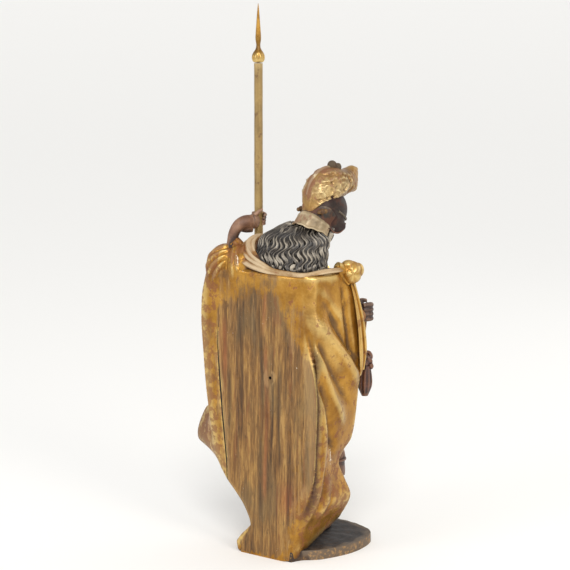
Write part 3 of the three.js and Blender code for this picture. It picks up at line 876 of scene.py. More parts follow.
def makeLeftShoulder():
    gold = finish["gold"]
    ball = carveBall("shoulder", (131, 48, 610), (47, 45, 54), gold, 84, 60)
    displaced(ball, shoulderFolds, [0, 2], (0, 1, 0.3))
    neck = carveBall("neckCloth", (86, 51, 606), (50, 41, 60), gold, 110, 90)
    displaced(neck, neckFolds, [0, 2], (0, 1, 0.3))
    slope = carveLimb("slope", [(130, 50, 616), (92, 48, 630), (66, 28, 642), (54, 2, 650)],
                      [40, 32, 26, 18], 60, 40, gold,
                      section=lambda angle, step: 1 + 0.05 * np.cos(angle * 9 + step * 3))
    cuff = carveLimb("cuff", [(100, 34, 640), (112, 44, 664), (116, 49, 672)], [20, 16.5, 13],
                     36, 20, gold,
                     section=lambda angle, step: 1 + 0.08 * np.cos(angle * 8))
    ridge = carveLimb("ridge", [(92, 62, 662), (83, 77, 644), (74, 85, 620), (66, 84, 590)],
                      [3, 6, 6, 3], 18, 34, finish["cloak"],
                      section=lambda angle, step: 1 + 0.06 * np.sin(step * 40 + angle * 2))
    return fuse("leftShoulder", [ball, neck, slope, cuff, ridge])


def makeClasp():
    # a budding knob with a neck that holds the corner of the cloak
    centre = (-135, -38, 614)
    bud = carveBall("clasp", centre, (22, 22, 25), finish["gold"], 48, 32)
    points = pointsOf(bud) / mm
    away = points - centre
    angle = np.arctan2(away[:, 2], away[:, 0] + away[:, 1])
    petals = 1.6 * np.cos(angle * 5) * bump(away[:, 2], 2, 18)
    placePoints(bud, (points + normalsOf(bud) * petals[:, None]) * mm)
    lobes = [
        carveBall("claspTop", (-131, -32, 630), (15, 15, 11), finish["gold"], 24, 16),
        carveBall("claspTip", (-143, -50, 618), (13, 14, 16), finish["gold"], 24, 16),
        carveLimb("claspNeck", [(-118, -8, 628), (-123, -20, 622), (-130, -32, 616)],
                  [11, 13, 15], 20, 12, finish["gold"]),
        carveLimb("claspCord", [(-122, -2, 632), (-126, -18, 606), (-134, -30, 590)],
                  [4, 5, 4], 12, 16, finish["gold"]),
    ]
    return fuse("clasp", [bud] + lobes)


def makeStrap():
    # the cloak's free corner, hanging from the clasp as a long leaf
    leaf = carveLimb(
        "strap",
        [(-134, -36, 598), (-140, -46, 560), (-144, -56, 510), (-144, -64, 460), (-142, -69, 412),
         (-139, -67, 388)],
        [6, 10, 14, 15, 15.5, 8], 28, 60, finish["gold"], 0.36, (1, 0.45, 0),
        lambda angle, step: 1 + 0.10 * np.cos(angle * 6 + 2) * np.sin(np.pi * step))
    rib = carveLimb("strapRib", [(-138, -44, 590), (-148, -58, 520), (-150, -70, 450),
                                 (-144, -72, 400)], [3, 4, 4, 2.5], 10, 40, finish["gold"])
    return fuse("strap", [leaf, rib])


def makeKnot():
    # the sash's knot on the hip, and the pleated end that hangs from it
    centre = (-129, -106, 413)
    knot = carveBall("knot", centre, (14, 13, 14), finish["leather"], 40, 26)
    points = pointsOf(knot) / mm
    away = points - centre
    turn = np.arctan2(away[:, 1], away[:, 0])
    swirl = 1.3 * np.cos(turn * 4 + away[:, 2] * 0.22)
    placePoints(knot, (points + normalsOf(knot) * swirl[:, None]) * mm)
    tassel = carveLimb(
        "sashEnd", [(-130, -107, 402), (-127, -106, 384), (-126, -106, 360), (-126, -106, 334)],
        [9, 14, 14.5, 7], 48, 24, finish["leather"],
        section=lambda angle, step: 1 + 0.10 * np.cos(angle * 9) * np.sin(np.pi * step) ** 0.5)
    tie = carveLimb("tie", [(-96, -62, 432), (-114, -88, 426), (-130, -104, 418)], [9, 9, 9],
                    20, 14, finish["leather"])
    loops = [
        carveLimb("loop", [(-122, -102, 424), (-130, -112, 428), (-138, -109, 420),
                           (-133, -102, 412)], [5, 5.5, 5.5, 5], 14, 20, finish["leather"]),
        carveLimb("loop", [(-130, -110, 404), (-138, -112, 398), (-139, -106, 408)],
                  [5, 5.5, 5], 14, 16, finish["leather"]),
    ]
    return fuse("knot", [knot, tassel, tie] + loops)


print("drapery described")


# Head: its own directions are to its left, forward down the nose, and up through the crown

headPose = {"centre": (-60, -45, 745), "turn": 14.5, "bow": 30}


def headDirections():
    turn, bow = math.radians(headPose["turn"]), math.radians(headPose["bow"])
    forward = np.array([-math.sin(turn) * math.cos(bow), -math.cos(turn) * math.cos(bow),
                        -math.sin(bow)])
    crown = np.array([-math.sin(turn) * math.sin(bow), -math.cos(turn) * math.sin(bow),
                      math.cos(bow)])
    return np.array([np.cross(crown, forward), forward, crown])


headAxes = headDirections()


def onHead(places):
    return np.array(headPose["centre"]) + np.atleast_2d(np.array(places, float)) @ headAxes


def headLimb(name, places, radii, around, rows, material, **more):
    return carveLimb(name, onHead(places), radii, around, rows, material, **more)


def headBall(name, place, radii, material, across=24, down=16):
    return carveBall(name, onHead(place)[0], radii, material, across, down, headAxes)


def makeFace():
    # calm and regular: eyes at half the head's height, nose and mouth by the usual thirds
    flesh = finish["flesh"]
    parts = [
        headBall("skull", (0, 2, -18), (33, 40, 44), flesh, 40, 28),
        headBall("jaw", (0, 18, -50), (24, 25, 25), flesh, 32, 22),
        headBall("brow", (0, 33, -8), (24, 9, 8), flesh, 24, 14),
        headBall("bridge", (0, 41, -18), (4.4, 6, 12), flesh, 18, 12),
        headBall("nose", (0, 45, -32), (5.6, 8, 8), flesh, 20, 14),
        headBall("nostril", (4.6, 42, -35), (3.8, 4.6, 3.6), flesh, 14, 10),
        headBall("nostril", (-4.6, 42, -35), (3.8, 4.6, 3.6), flesh, 14, 10),
        headBall("upperLip", (0, 41, -44), (9, 4.4, 2.8), flesh, 20, 10),
        headBall("lowerLip", (0, 40, -49.5), (7.6, 4.6, 3), flesh, 20, 10),
    ]
    for side in (-1, 1):
        parts += [
            headBall("cheek", (side * 18, 30, -30), (11, 10, 12), flesh, 22, 16),
            headLimb("lid", [(side * 7, 40, -19), (side * 14, 41, -16.4), (side * 21, 36, -19)],
                     [2, 2.8, 2], 12, 14, flesh),
            headLimb("lowLid", [(side * 8, 39, -21), (side * 14, 40, -23), (side * 20, 36, -21)],
                     [1.4, 1.9, 1.4], 12, 14, flesh),
            headLimb("browRidge", [(side * 4, 41, -10), (side * 13, 41, -6), (side * 24, 33, -10)],
                     [2.4, 3, 2], 12, 14, flesh),
        ]
    face = meltTogether("face", parts, 2.0, 2, flesh)
    eyes = [headBall("eye", (side * 14, 34.6, -19.6), (6.2, 6.2, 5.4), flesh, 20, 14)
            for side in (-1, 1)]
    neck = carveLimb("neck", [(-22, -8, 625), (-38, -20, 670), (-52, -34, 705)], [34, 28, 27],
                     28, 16, flesh)
    return fuse("face", [face, neck] + eyes)


def makeBeard():
    # a core below the chin, with curled locks over it and down the jaw
    hair = finish["hair"]
    core = headBall("beardCore", (0, 27, -70), (22, 18, 24), hair, 28, 20)
    random.seed(11)
    locks = []
    for row, (up, forward, wide, length) in enumerate(
            [(-56, 30, 24, 22), (-64, 38, 20, 26), (-74, 36, 14, 24)]):
        count = 9 - row * 2
        for i in range(count):
            share = i / (count - 1) * 2 - 1
            side = share * wide
            out = forward * (1 - 0.35 * share * share)
            sway = random.uniform(-2.5, 2.5)
            locks.append(headLimb(
                "beardLock",
                [(side, out, up + 6), (side + sway, out + 5, up - length * 0.35),
                 (side * 0.85 - sway, out + 2, up - length * 0.7),
                 (side * 0.8 + sway * 1.4, out + 5, up - length)],
                [4, 5, 4.4, 1.6], 9, 14, hair))
    for side in (-1, 1):
        for i in range(4):
            locks.append(headLimb("whisker", [(side * 2, 47 - i * 0.5, -40 - i * 1.3),
                                              (side * (10 + i), 44 - i, -43 - i * 1.8),
                                              (side * (18 + i * 0.6), 36, -53 - i * 1.6)],
                                  [1.4, 1.8, 0.9], 8, 14, hair))
        locks.append(headLimb("sideBeard", [(side * 31, 12, -30), (side * 30, 16, -48),
                                            (side * 24, 24, -64)], [6, 7, 6], 10, 14, hair,
                              section=lambda angle, step: 1 + 0.12 * np.cos(angle * 5)))
    return fuse("beard", [core] + locks)


helmetShape = {
    "bowl": (39, 52, 48), "ahead": 4, "wall": (38.2, 50.6), "wallBack": 46,
    "cheekPlate": (33, 20, -22),
    "edgeStart": (-44, -37), "slope": math.atan2(104, 96),
    "along": (-52, 106),
    # the crest's top and bottom edge and its half width, by the distance along it
    "peakHeight": [(-52, 4), (-46, 22), (-36, 42), (-22, 58), (-4, 69), (14, 74), (32, 73),
                   (48, 67), (60, 60), (72, 54), (84, 53), (98, 53), (106, 48)],
    "foot": [(-52, -4), (-40, 1), (-8, 4), (32, 0), (70, 2), (84, -2), (92, 4), (98, 14),
             (106, 30)],
    "halfWidth": [(-52, 8), (-42, 18), (-26, 28), (0, 34), (40, 35), (70, 30), (90, 18),
                  (106, 8)],
    "around": 132, "rows": 100,
}

# embossed lobes of the crest, seen from the side: height, widths and line as forward and up
crestCurls = [
    (3.4, 3, 3, [(-51, 1), (-58, 6), (-53, 14), (-43, 16), (-36, 10), (-40, 3)]),
    (3.6, 3, 3.4, [(-43, 18), (-51, 24), (-44, 35), (-31, 37), (-23, 31), (-26, 19), (-35, 15)]),
    (3.2, 3, 3, [(-24, 27), (-20, 37), (-9, 37), (-4, 32), (-10, 22)]),
    (3.8, 3.2, 3.6, [(-21, 45), (-24, 57), (-14, 68), (0, 70), (8, 61), (8, 48), (-1, 39), (-15, 39)]),
    (2.6, 2.6, 2.6, [(-6, 44), (-14, 50), (-11, 59), (-2, 59), (0, 51)]),
    (3.4, 3, 4, [(-64, 24), (-58, 36), (-42, 45), (-33, 56), (-28, 66), (-9, 73)]),
    (3.6, 4, 4, [(-59, 54), (-39, 70), (-18, 77), (4, 84), (20, 95)]),
    (-3.4, 3, 3, [(-62, 46), (-52, 54), (-34, 63), (-11, 72)]),
    (4.2, 4, 4.5, [(-40, -47), (-40, -29), (-37, -10), (-28, 7), (-6, 25), (17, 42)]),
    (-3.2, 3, 3, [(-48, -20), (-46, -4), (-38, 2), (-25, 16), (-8, 28)]),
    (-3.0, 3, 3, [(-42, -30), (-51, -6), (-57, 10), (-61, 26), (-56, 42)]),
    (2.4, 4, 4, [(-44, -40), (-53, -20), (-60, -2), (-64, 19), (-62, 39)]),
    (-2.6, 3, 3, [(-58, 21), (-48, 36), (-33, 49), (-32, 57)]),
    (-3.4, 3.4, 3.4, [(1, 78), (2, 71), (9, 67)]),
    (2.8, 3.4, 3.4, [(6, 81), (15, 72), (15, 62)]),
    (-3.6, 3.6, 3.6, [(26, 70), (24, 58), (16, 49)]),
    (2.4, 3, 3, [(-60, 4), (-57, -9), (-50, -16)]),
    (-2.4, 2.6, 2.6, [(-24, 38), (-21, 42), (-20, 47)]),
]


def crestSide(along, lift):
    # forward and up of a place, from its distance along the crest's edge and its height over it
    s = helmetShape
    sine, cosine = math.sin(s["slope"]), math.cos(s["slope"])
    offset = along - (s["edgeStart"][0] * cosine + s["edgeStart"][1] * sine)
    return (s["edgeStart"][0] + offset * cosine - lift * sine,
            s["edgeStart"][1] + offset * sine + lift * cosine)


def squarer(value):
    return np.sign(value) * np.abs(value) ** 0.86


def crestPlace(turn, step):
    s = helmetShape
    along = mix(s["along"][0], s["along"][1], step)
    high = reading(s["peakHeight"], along)
    low = reading(s["foot"], along)
    angle = 2 * np.pi * (1 - turn)
    left = reading(s["halfWidth"], along) * squarer(np.cos(angle))
    lift = mix(low, np.maximum(high, low + 2), 0.5 + 0.5 * squarer(np.sin(angle)))
    forward, up = crestSide(along, lift)
    curls = foldField(np.stack([forward, up], axis=1), crestCurls)
    sideways = smoothStep(np.abs(left), 4, 16)
    ragged = 1.4 * np.sin(along * 0.45) * np.sin(along * 0.19 + 1)
    curls = curls + 0.8 * np.sin(forward * 0.5 + up * 0.22) * np.sin(up * 0.43 - forward * 0.2)
    left = left + np.sign(left) * curls * sideways
    return onHead(np.column_stack([left, forward, up + ragged * 0.4 * sideways]))


def aroundHead(angle, wide, deep, height, frontShare, backShare=1):
    # a ring round the head, drawn in at the front and the back
    share = np.where(np.sin(angle) > 0, backShare, frontShare)
    return onHead(np.column_stack([wide * np.cos(angle), -deep * share * np.sin(angle), height]))


def wallPlace(turn, step):
    # the bowl goes straight down behind the ears
    angle = 2 * np.pi * turn
    foot = mix(-40, -50, 0.5 + 0.5 * np.sin(angle))
    waist = 1.2 * bump(step, 0.75, 0.3)
    wide, deep = helmetShape["wall"]
    return aroundHead(angle, wide - waist, deep - waist, mix(-2, foot, step), 0.8,
                      helmetShape["wallBack"] / deep)


# the neck guard: drop and flare down its outside, round its rim and back up inside
guardShape = {
    "drop": [(0, 0), (0.42, -17), (0.5, -21), (0.58, -22), (1, -10)],
    "flare": [(0, -1), (0.1, 2), (0.25, 5), (0.42, 6), (0.5, 7.5), (0.58, 6), (1, -10)],
    "half": (36.5, 47.5), "frontShare": 0.35,
}


def guardPlace(turn, step):
    s = guardShape
    angle = 2 * np.pi * turn
    back = 0.5 + 0.5 * np.sin(angle)
    height = mix(-36, -42, back) + np.interp(step, *np.array(s["drop"]).T)
    height += mix(-4, 13, back) * (1 - smoothStep(step, 0, 0.3))
    flare = np.interp(step, *np.array(s["flare"]).T) * (0.4 + 0.6 * back)
    flare += 1.7 * bump(step, 0.49, 0.06)
    flare += 1.3 * bump(step, 0.1, 0.05)
    wave = (1.2 * np.sin(angle * 5) + 0.8 * np.sin(angle * 13 + 1)) * smoothStep(step, 0.1, 0.5)
    dents = 0.9 * np.sin(angle * 9 + step * 5) + 0.6 * np.sin(angle * 21)
    flare += dents * bump(step, 0.28, 0.2)
    return aroundHead(angle, s["half"][0] + flare * 0.6, s["half"][1] + flare, height + wave,
                      s["frontShare"])


def makeCheek(side):
    # a lobed plate over the ear, its bound edge, and the rivets behind it
    left, ahead, up = helmetShape["cheekPlate"]
    steel, crest, leather = finish["steel"], finish["crest"], finish["leather"]
    plate = headBall("cheekPlate", (side * left, ahead, up), (6, 25, 21), steel, 36, 24)
    points = (pointsOf(plate) / mm - np.array(headPose["centre"])) @ headAxes.T
    out = points[:, 1:] - (ahead, up)
    around = np.arctan2(out[:, 1], out[:, 0])
    points[:, 1:] += 1.8 * np.cos(around * 5)[:, None] * out / 20
    placePoints(plate, onHead(points) * mm)
    edge = headLimb("cheekRim", [(side * 36, 4, -39), (side * 37, 16, -44), (side * 36, 32, -40),
                                 (side * 34, 43, -26), (side * 33, 42, -12)],
                    [1.8] * 5, 10, 30, leather)
    rivets = [headBall("rivet", (side * 34, forward, height), (size, size, size), crest, 24, 18)
              for forward, height, size in ((-30, -20, 6.5), (-22, -15, 5), (-36, -24, 4.5))]
    return [plate, edge] + rivets


def makeHelmet():
    s = helmetShape
    steel, crest, rim = finish["steel"], finish["crest"], finish["rim"]
    parts = [headBall("bowl", (0, s["ahead"], 0), s["bowl"], steel, 96, 64),
             wrapSkin("helmetWall", 128, 48, wallPlace, steel),
             wrapSkin("guard", 120, 40, guardPlace, rim)]
    parts += makeCheek(-1) + makeCheek(1)
    parts.append(headLimb("browBand", [(38, 8, 0), (34, 32, -1), (20, 50, -1), (0, 56, -1),
                                       (-20, 50, -1), (-34, 32, -1), (-38, 8, 0)],
                          [2.4] * 7, 14, 90, steel))
    parts.append(wrapSkin("crest", s["around"], s["rows"], crestPlace, crest))
    parts.append(fuse("crestKnob", [
        headBall("knob", (0, -26, 88), (9, 12, 11), rim, 28, 18),
        headBall("knob", (1, -10, 91), (8, 9, 10.5), rim, 28, 18),
    ]))
    ridgeLine = [(0, *crestSide(along, reading(s["peakHeight"], along) - 1.5))
                 for along in (-38.0, -22.0, -4.0, 14.0, 30.0, 40.0)]
    parts.append(headLimb("comb", ridgeLine, [2.2, 3.4, 4.4, 5, 5.4, 5], 14, 40, rim))
    parts.append(headLimb("peakRoll", [(-9, 30, 99), (-5, 35, 108), (0, 37, 112), (5, 35, 108),
                                       (9, 30, 99)], [3.4, 4, 4.5, 4, 3.4], 14, 24, crest))
    return fuse("helmet", parts)


hairShape = {
    "top": 711, "bottom": 606, "wave": 31, "swing": 6.4, "thick": 5.4, "curls": 20,
    # layers of locks: shift, count, upper and lower end, and height over the core
    "layers": [(0.5, 26, 704, 616, -2.0), (0, 30, 714, 613, 0.8)],
    "wide": [(606, 64), (622, 81), (640, 82), (660, 80), (676, 78), (684, 72), (692, 60), (700, 50),
             (712, 30)],
    "deep": [(606, 32), (622, 50), (645, 52), (670, 46), (695, 34), (712, 18)],
    "centreX": [(606, -22), (640, -18), (665, -17), (685, -19), (700, -24), (712, -32)],
    "centreY": [(606, 28), (650, 18), (690, -2), (712, -10)],
}


def hairSurface(angle, z, out):
    s = hairShape
    return np.column_stack([
        reading(s["centreX"], z) + (reading(s["wide"], z) + out) * np.cos(angle),
        reading(s["centreY"], z) + (reading(s["deep"], z) + out) * np.sin(angle), z])


def hairCorePlace(turn, step):
    s = hairShape
    return hairSurface(2 * np.pi * (1 - turn), mix(s["top"], s["bottom"], step), -4)


def hairLocks():
    # two layers of long waving locks; the phase wanders from one lock to the next
    s = hairShape
    locks = []
    for shift, count, high, low, lift in s["layers"]:
        phase = shift * 4
        for i in range(count):
            angle = math.radians(-32 + 244 * (i + shift) / count)
            top = high - random.uniform(0, 9)
            end = low + random.uniform(-5, 7) + 10 * abs(math.cos(angle)) ** 3
            steps = np.linspace(0, 1, 18)
            z = mix(top, end, steps)
            phase += random.uniform(-0.6, 0.75)
            wave = s["wave"] * random.uniform(0.92, 1.08)
            swing = s["swing"] * np.sin(2 * np.pi * (top - z) / wave + phase)
            swing *= smoothStep(steps, 0, 0.12)
            out = lift + random.uniform(-0.6, 1.2) + 1.5 * np.cos(
                2 * np.pi * (top - z) / wave + phase * 1.3)
            place = hairSurface(angle + swing / reading(s["wide"], z), z, out)
            radii = s["thick"] * random.uniform(0.85, 1.1) * np.interp(
                steps, [0, 0.08, 0.85, 1], [0.8, 1, 0.95, 0.6])
            locks.append(carveLimb("lock", place, list(radii), 20, 40, finish["hair"],
                                   section=lambda a, t: 1 + 0.17 * np.cos(a * 5 + t * 5)))
    return locks


def hairEnds():
    # the ends curl up in small rounds over the collar
    curls = []
    count = hairShape["curls"]
    for i in range(count):
        turns = np.linspace(0, 5.4, 12)
        size = 7.5 - 1.05 * turns
        way = 1 if i % 3 else -1
        spin = way * turns + random.uniform(0, 2)
        place = hairSurface(math.radians(4 + 172 * i / (count - 1)) + size * np.cos(spin) / 80,
                            619 + random.uniform(-2, 8) + size * np.sin(spin), 2.5 + turns * 0.6)
        curls.append(carveLimb("curl", place, [4, 4.2, 3.6, 3, 2.2], 10, 18, finish["hair"],
                               section=lambda a, t: 1 + 0.14 * np.cos(a * 3)))
    return curls


def makeHair():
    core = wrapSkin("hairCore", 48, 30, hairCorePlace, finish["hair"])
    random.seed(23)
    return fuse("hair", [core] + hairLocks() + hairEnds())


print("head described")


# Arms and hands

def makeLeftArm():
    # the forearm stands bare out of the cloth, and the hand closes round the lance
    flesh = finish["flesh"]
    forearm = carveLimb("forearm", [(117, 50, 655), (114, 47, 684), (107, 40, 702), (99, 27, 710),
                                    (93, 12, 710)], [12, 11.6, 12.4, 14.5, 15.5], 28, 40, flesh)
    parts = [
        forearm,
        carveBall("palm", (91, 4, 711), (13, 13, 17), flesh, 28, 20),
        carveLimb("heel", [(106, 34, 696), (98, 24, 696), (92, 12, 697)], [6, 9, 10], 20, 20,
                  flesh),
        carveBall("knuckles", (99, -6, 712), (8, 11, 15), flesh, 24, 16),
        carveLimb("thumb", [(86, 8, 724), (79, 2, 732), (75, -6, 737)], [5, 4.2, 2.6],
                  14, 18, flesh),
    ]
    for i, reach in enumerate((6, 2, 0, -2)):
        parts.append(carveLimb(
            "finger", [(100, -4 - i, 726 - i * 7), (98, -18, 727 - i * 7),
                       (88, -23, 726 - i * 7), (79 - reach * 0.4, -18, 724 - i * 6.6),
                       (77 - reach * 0.6, -9, 723 - i * 6.6)],
            [4.6, 4.4, 4, 3.6, 2.6], 14, 26, flesh))
    return meltTogether("leftArm", parts, 1.9, 2, flesh)


def makeRightArm():
    # the sleeve comes forward from under the cloak; the hand is closed on the cloth
    gold, flesh = finish["gold"], finish["flesh"]
    sleeve = carveLimb("sleeve", [(-84, -6, 600), (-100, -22, 556), (-114, -48, 510),
                                  (-117, -76, 506), (-117, -90, 512)], [28, 27, 23, 18, 16],
                       48, 46, gold,
                       section=lambda angle, step: 1 + 0.055 * np.cos(step * 34 + 2 * np.sin(angle)))
    cuff = carveLimb("sleeveCuff", [(-117, -84, 509), (-116, -95, 514)], [18, 17.5], 40, 8, gold)
    hand = [carveBall("backOfHand", (-117, -107, 518), (15, 15, 19), flesh, 32, 22),
            carveLimb("thumb", [(-112, -100, 534), (-111, -112, 541), (-119, -122, 541)],
                      [6, 5.6, 3.6], 16, 20, flesh)]
    for i in range(4):
        hand.append(carveLimb(
            "finger", [(-125, -99, 533 - i * 10), (-133, -111, 534 - i * 10),
                       (-128, -125, 532 - i * 10), (-115, -126, 530 - i * 10),
                       (-106, -118, 528 - i * 10)], [5.4, 6, 5.6, 5, 3.2], 14, 26, flesh))
    fist = meltTogether("rightHand", hand, 1.9, 3, flesh)
    drape = carveLimb("drape", [(-108, -56, 540), (-110, -72, 490), (-109, -78, 430),
                                (-104, -72, 370), (-98, -64, 330)], [18, 25, 26, 19, 7],
                      46, 40, gold,
                      section=lambda angle, step: 1 + 0.09 * np.cos(angle * 6 + step * 2.5))
    gathered = carveLimb("gathered", [(-114, -118, 502), (-112, -108, 476), (-106, -92, 440),
                                      (-96, -78, 400)], [7, 12, 16, 12], 34, 28, gold,
                         section=lambda angle, step: 1 + 0.12 * np.cos(angle * 5 + step))
    return fuse("rightArm", [sleeve, cuff, fist, drape, gathered])


# Body: breastplate, mantle, belt, short skirt with lappets, legs and boots

torsoShape = {
    "wide": [(385, 58), (420, 55), (480, 68), (560, 78), (615, 74), (652, 34)],
    "deep": [(385, 44), (420, 42), (500, 56), (560, 62), (615, 52), (652, 28)],
    "middle": (-4, -16), "bottom": 385, "top": 652,
}

torsoRelief = [
    (4.5, 9, 22, [(-58, 560), (-34, 540), (-8, 548), (-4, 566)]),
    (4.5, 22, 9, [(50, 560), (26, 540), (0, 548), (-4, 566)]),
    (-2.5, 3, 3, [(-4, 600), (-4, 540), (-4, 470), (-4, 430)]),
    (-2.2, 3, 3, [(-46, 512), (-20, 522), (-4, 530), (12, 522), (38, 512)]),
    (2.2, 7, 7, [(-24, 505), (-22, 470), (-18, 440)]),
    (2.2, 7, 7, [(16, 505), (14, 470), (10, 440)]),
    (-1.6, 3, 3, [(-40, 480), (-4, 486), (32, 480)]),
    (-1.6, 3, 3, [(-36, 452), (-4, 456), (28, 452)]),
]


def torsoPlace(turn, step):
    s = torsoShape
    z = mix(s["bottom"], s["top"], step)
    angle = 2 * np.pi * turn
    wide, deep = reading(s["wide"], z), reading(s["deep"], z)
    x = s["middle"][0] + wide * np.cos(angle)
    relief = np.zeros(len(turn))
    front = np.sin(angle) < -0.15
    relief[front] = foldField(np.stack([x, z], axis=1)[front], torsoRelief)
    y = s["middle"][1] + (deep + relief) * np.sin(angle)
    return np.column_stack([x, y, z])


def makeTorso():
    steel, gold = finish["steel"], finish["gold"]
    s = torsoShape
    chest = wrapSkin("cuirass", 96, 66, torsoPlace, steel)
    middle = np.array(s["middle"])

    def band(name, z, radius, thick, tilt=0):
        turns = np.linspace(0, 2 * np.pi, 25)
        ring = [(middle[0] + (reading(s["wide"], z) + thick) * math.cos(t),
                 middle[1] + (reading(s["deep"], z) + thick) * math.sin(t),
                 z + tilt * math.sin(t)) for t in turns]
        ring[-1] = tuple(np.array(ring[0]) + (0, 0.01, 0.4))
        return carveLimb(name, ring, [radius] * 5, 14, 110, gold)

    parts = [chest, band("waistCord", 412, 5.5, 1), band("waistBand", 402, 5, 2),
             band("hemCord", 392, 5, 3, 4)]
    parts.append(carveLimb("neckEdge", [(-70, -42, 618), (-52, -62, 606), (-20, -74, 598),
                                        (14, -72, 600), (42, -56, 612)], [5] * 5, 14, 50, gold))
    parts.append(carveBall("rosette", (-4, -78, 556), (10, 5, 10), gold, 28, 18))
    for i in range(8):
        turn = 2 * math.pi * i / 8
        parts.append(carveBall("petal", (-4 + 11 * math.cos(turn), -77, 556 + 11 * math.sin(turn)),
                               (5, 4, 5), gold, 14, 10))
    return fuse("torso", parts)


def makeMantle():
    # the edge of the cloak across the chest, from the clasp to the left shoulder
    gold = finish["gold"]
    line = [(-124, -46, 612), (-98, -68, 594), (-66, -82, 584), (-20, -90, 582), (20, -82, 592),
            (52, -60, 618), (62, -30, 642), (60, -6, 654)]
    roll = carveLimb("mantle", line, [16, 19, 21, 22, 21, 20, 19, 16], 48, 54, gold,
                     section=lambda a, t: 1 + 0.10 * np.cos(a * 5 + t * 6) + 0.03 * np.cos(a * 11))
    fall = carveLimb("fall", [(70, -26, 640), (92, -40, 590), (110, -34, 520), (126, -16, 440),
                              (140, 0, 350), (150, 16, 270)], [20, 24, 24, 22, 20, 12], 46, 56, gold,
                     section=lambda a, t: 1 + 0.12 * np.cos(a * 5 + t * 4) + 0.03 * np.cos(a * 13))
    inner = carveLimb("innerFall", [(66, 4, 560), (74, -6, 480), (84, -4, 400), (96, 4, 320),
                                    (104, 12, 230), (86, 16, 150)], [22, 26, 28, 28, 24, 12],
                      46, 54, gold,
                      section=lambda a, t: 1 + 0.11 * np.cos(a * 6 + t * 5) + 0.03 * np.cos(a * 13))
    return fuse("mantle", [roll, fall, inner])


skirtShape = {
    "middle": (-6, -14), "top": 404, "bottom": 292, "waist": (60, 44), "belt": (62, 46),
    "flare": 26, "pleats": 11, "pleatDepth": 4.5, "lappets": 11,
}


def makeSkirt():
    # the tunic's pleated hem, with stiff lappets over it at the front
    s = skirtShape
    gold, steel = finish["gold"], finish["steel"]
    middle = s["middle"]

    def skirtPlace(turn, step):
        z = mix(s["top"], s["bottom"], step) + 3 * np.cos(turn * 2 * np.pi * s["pleats"]) * step
        angle = 2 * np.pi * (1 - turn)
        flare = s["flare"] * np.sqrt(step)
        pleat = s["pleatDepth"] * step * np.cos(angle * s["pleats"])
        wide, deep = s["waist"]
        return np.column_stack([middle[0] + (wide + flare * 0.7 + pleat) * np.cos(angle),
                                middle[1] + (deep + flare + pleat) * np.sin(angle), z])

    parts = [wrapSkin("tunic", 132, 18, skirtPlace, gold)]
    for i in range(s["lappets"]):
        angle = math.radians(188 + 164 * i / (s["lappets"] - 1))
        way = (math.cos(angle), math.sin(angle))

        def at(spread, z):
            wide, deep = s["belt"]
            return (middle[0] + (wide + spread * 0.8) * way[0],
                    middle[1] + (deep + spread) * way[1], z)

        lappet = carveLimb("lappet", [at(4, 402), at(12, 378), at(19, 352), at(24, 330)],
                           [8, 9, 9, 8.5], 14, 12, steel, 0.34, (way[0], way[1], 0.2))
        knob = carveBall("lappetKnob", at(22, 374), (4, 4, 4), gold, 14, 10)
        fringe = carveLimb("fringe", [at(24, 330), at(26, 318)], [8.5, 7], 20, 6, gold, 0.42,
                           (way[0], way[1], 0.2), lambda a, t: 1 + 0.07 * np.cos(a * 9))
        parts += [lappet, knob, fringe]
    return fuse("skirt", parts)


legPlaces = {
    1: {"hip": (36, -18, 330), "thigh": (38, -32, 270), "knee": (42, -44, 208),
        "calf": (42, -30, 150), "ankle": (40, -26, 70), "heel": (40, -28, 40), "lean": 0.22},
    -1: {"hip": (-38, -24, 330), "thigh": (-50, -58, 265), "knee": (-62, -84, 194),
         "calf": (-50, -60, 140), "ankle": (-30, -36, 66), "heel": (-26, -34, 38), "lean": 0.06},
}


def bootCreases(angle, step):
    return 1 + 0.03 * np.cos(step * 46 + 2 * np.cos(angle)) * smoothStep(step, 0.5, 0.8)


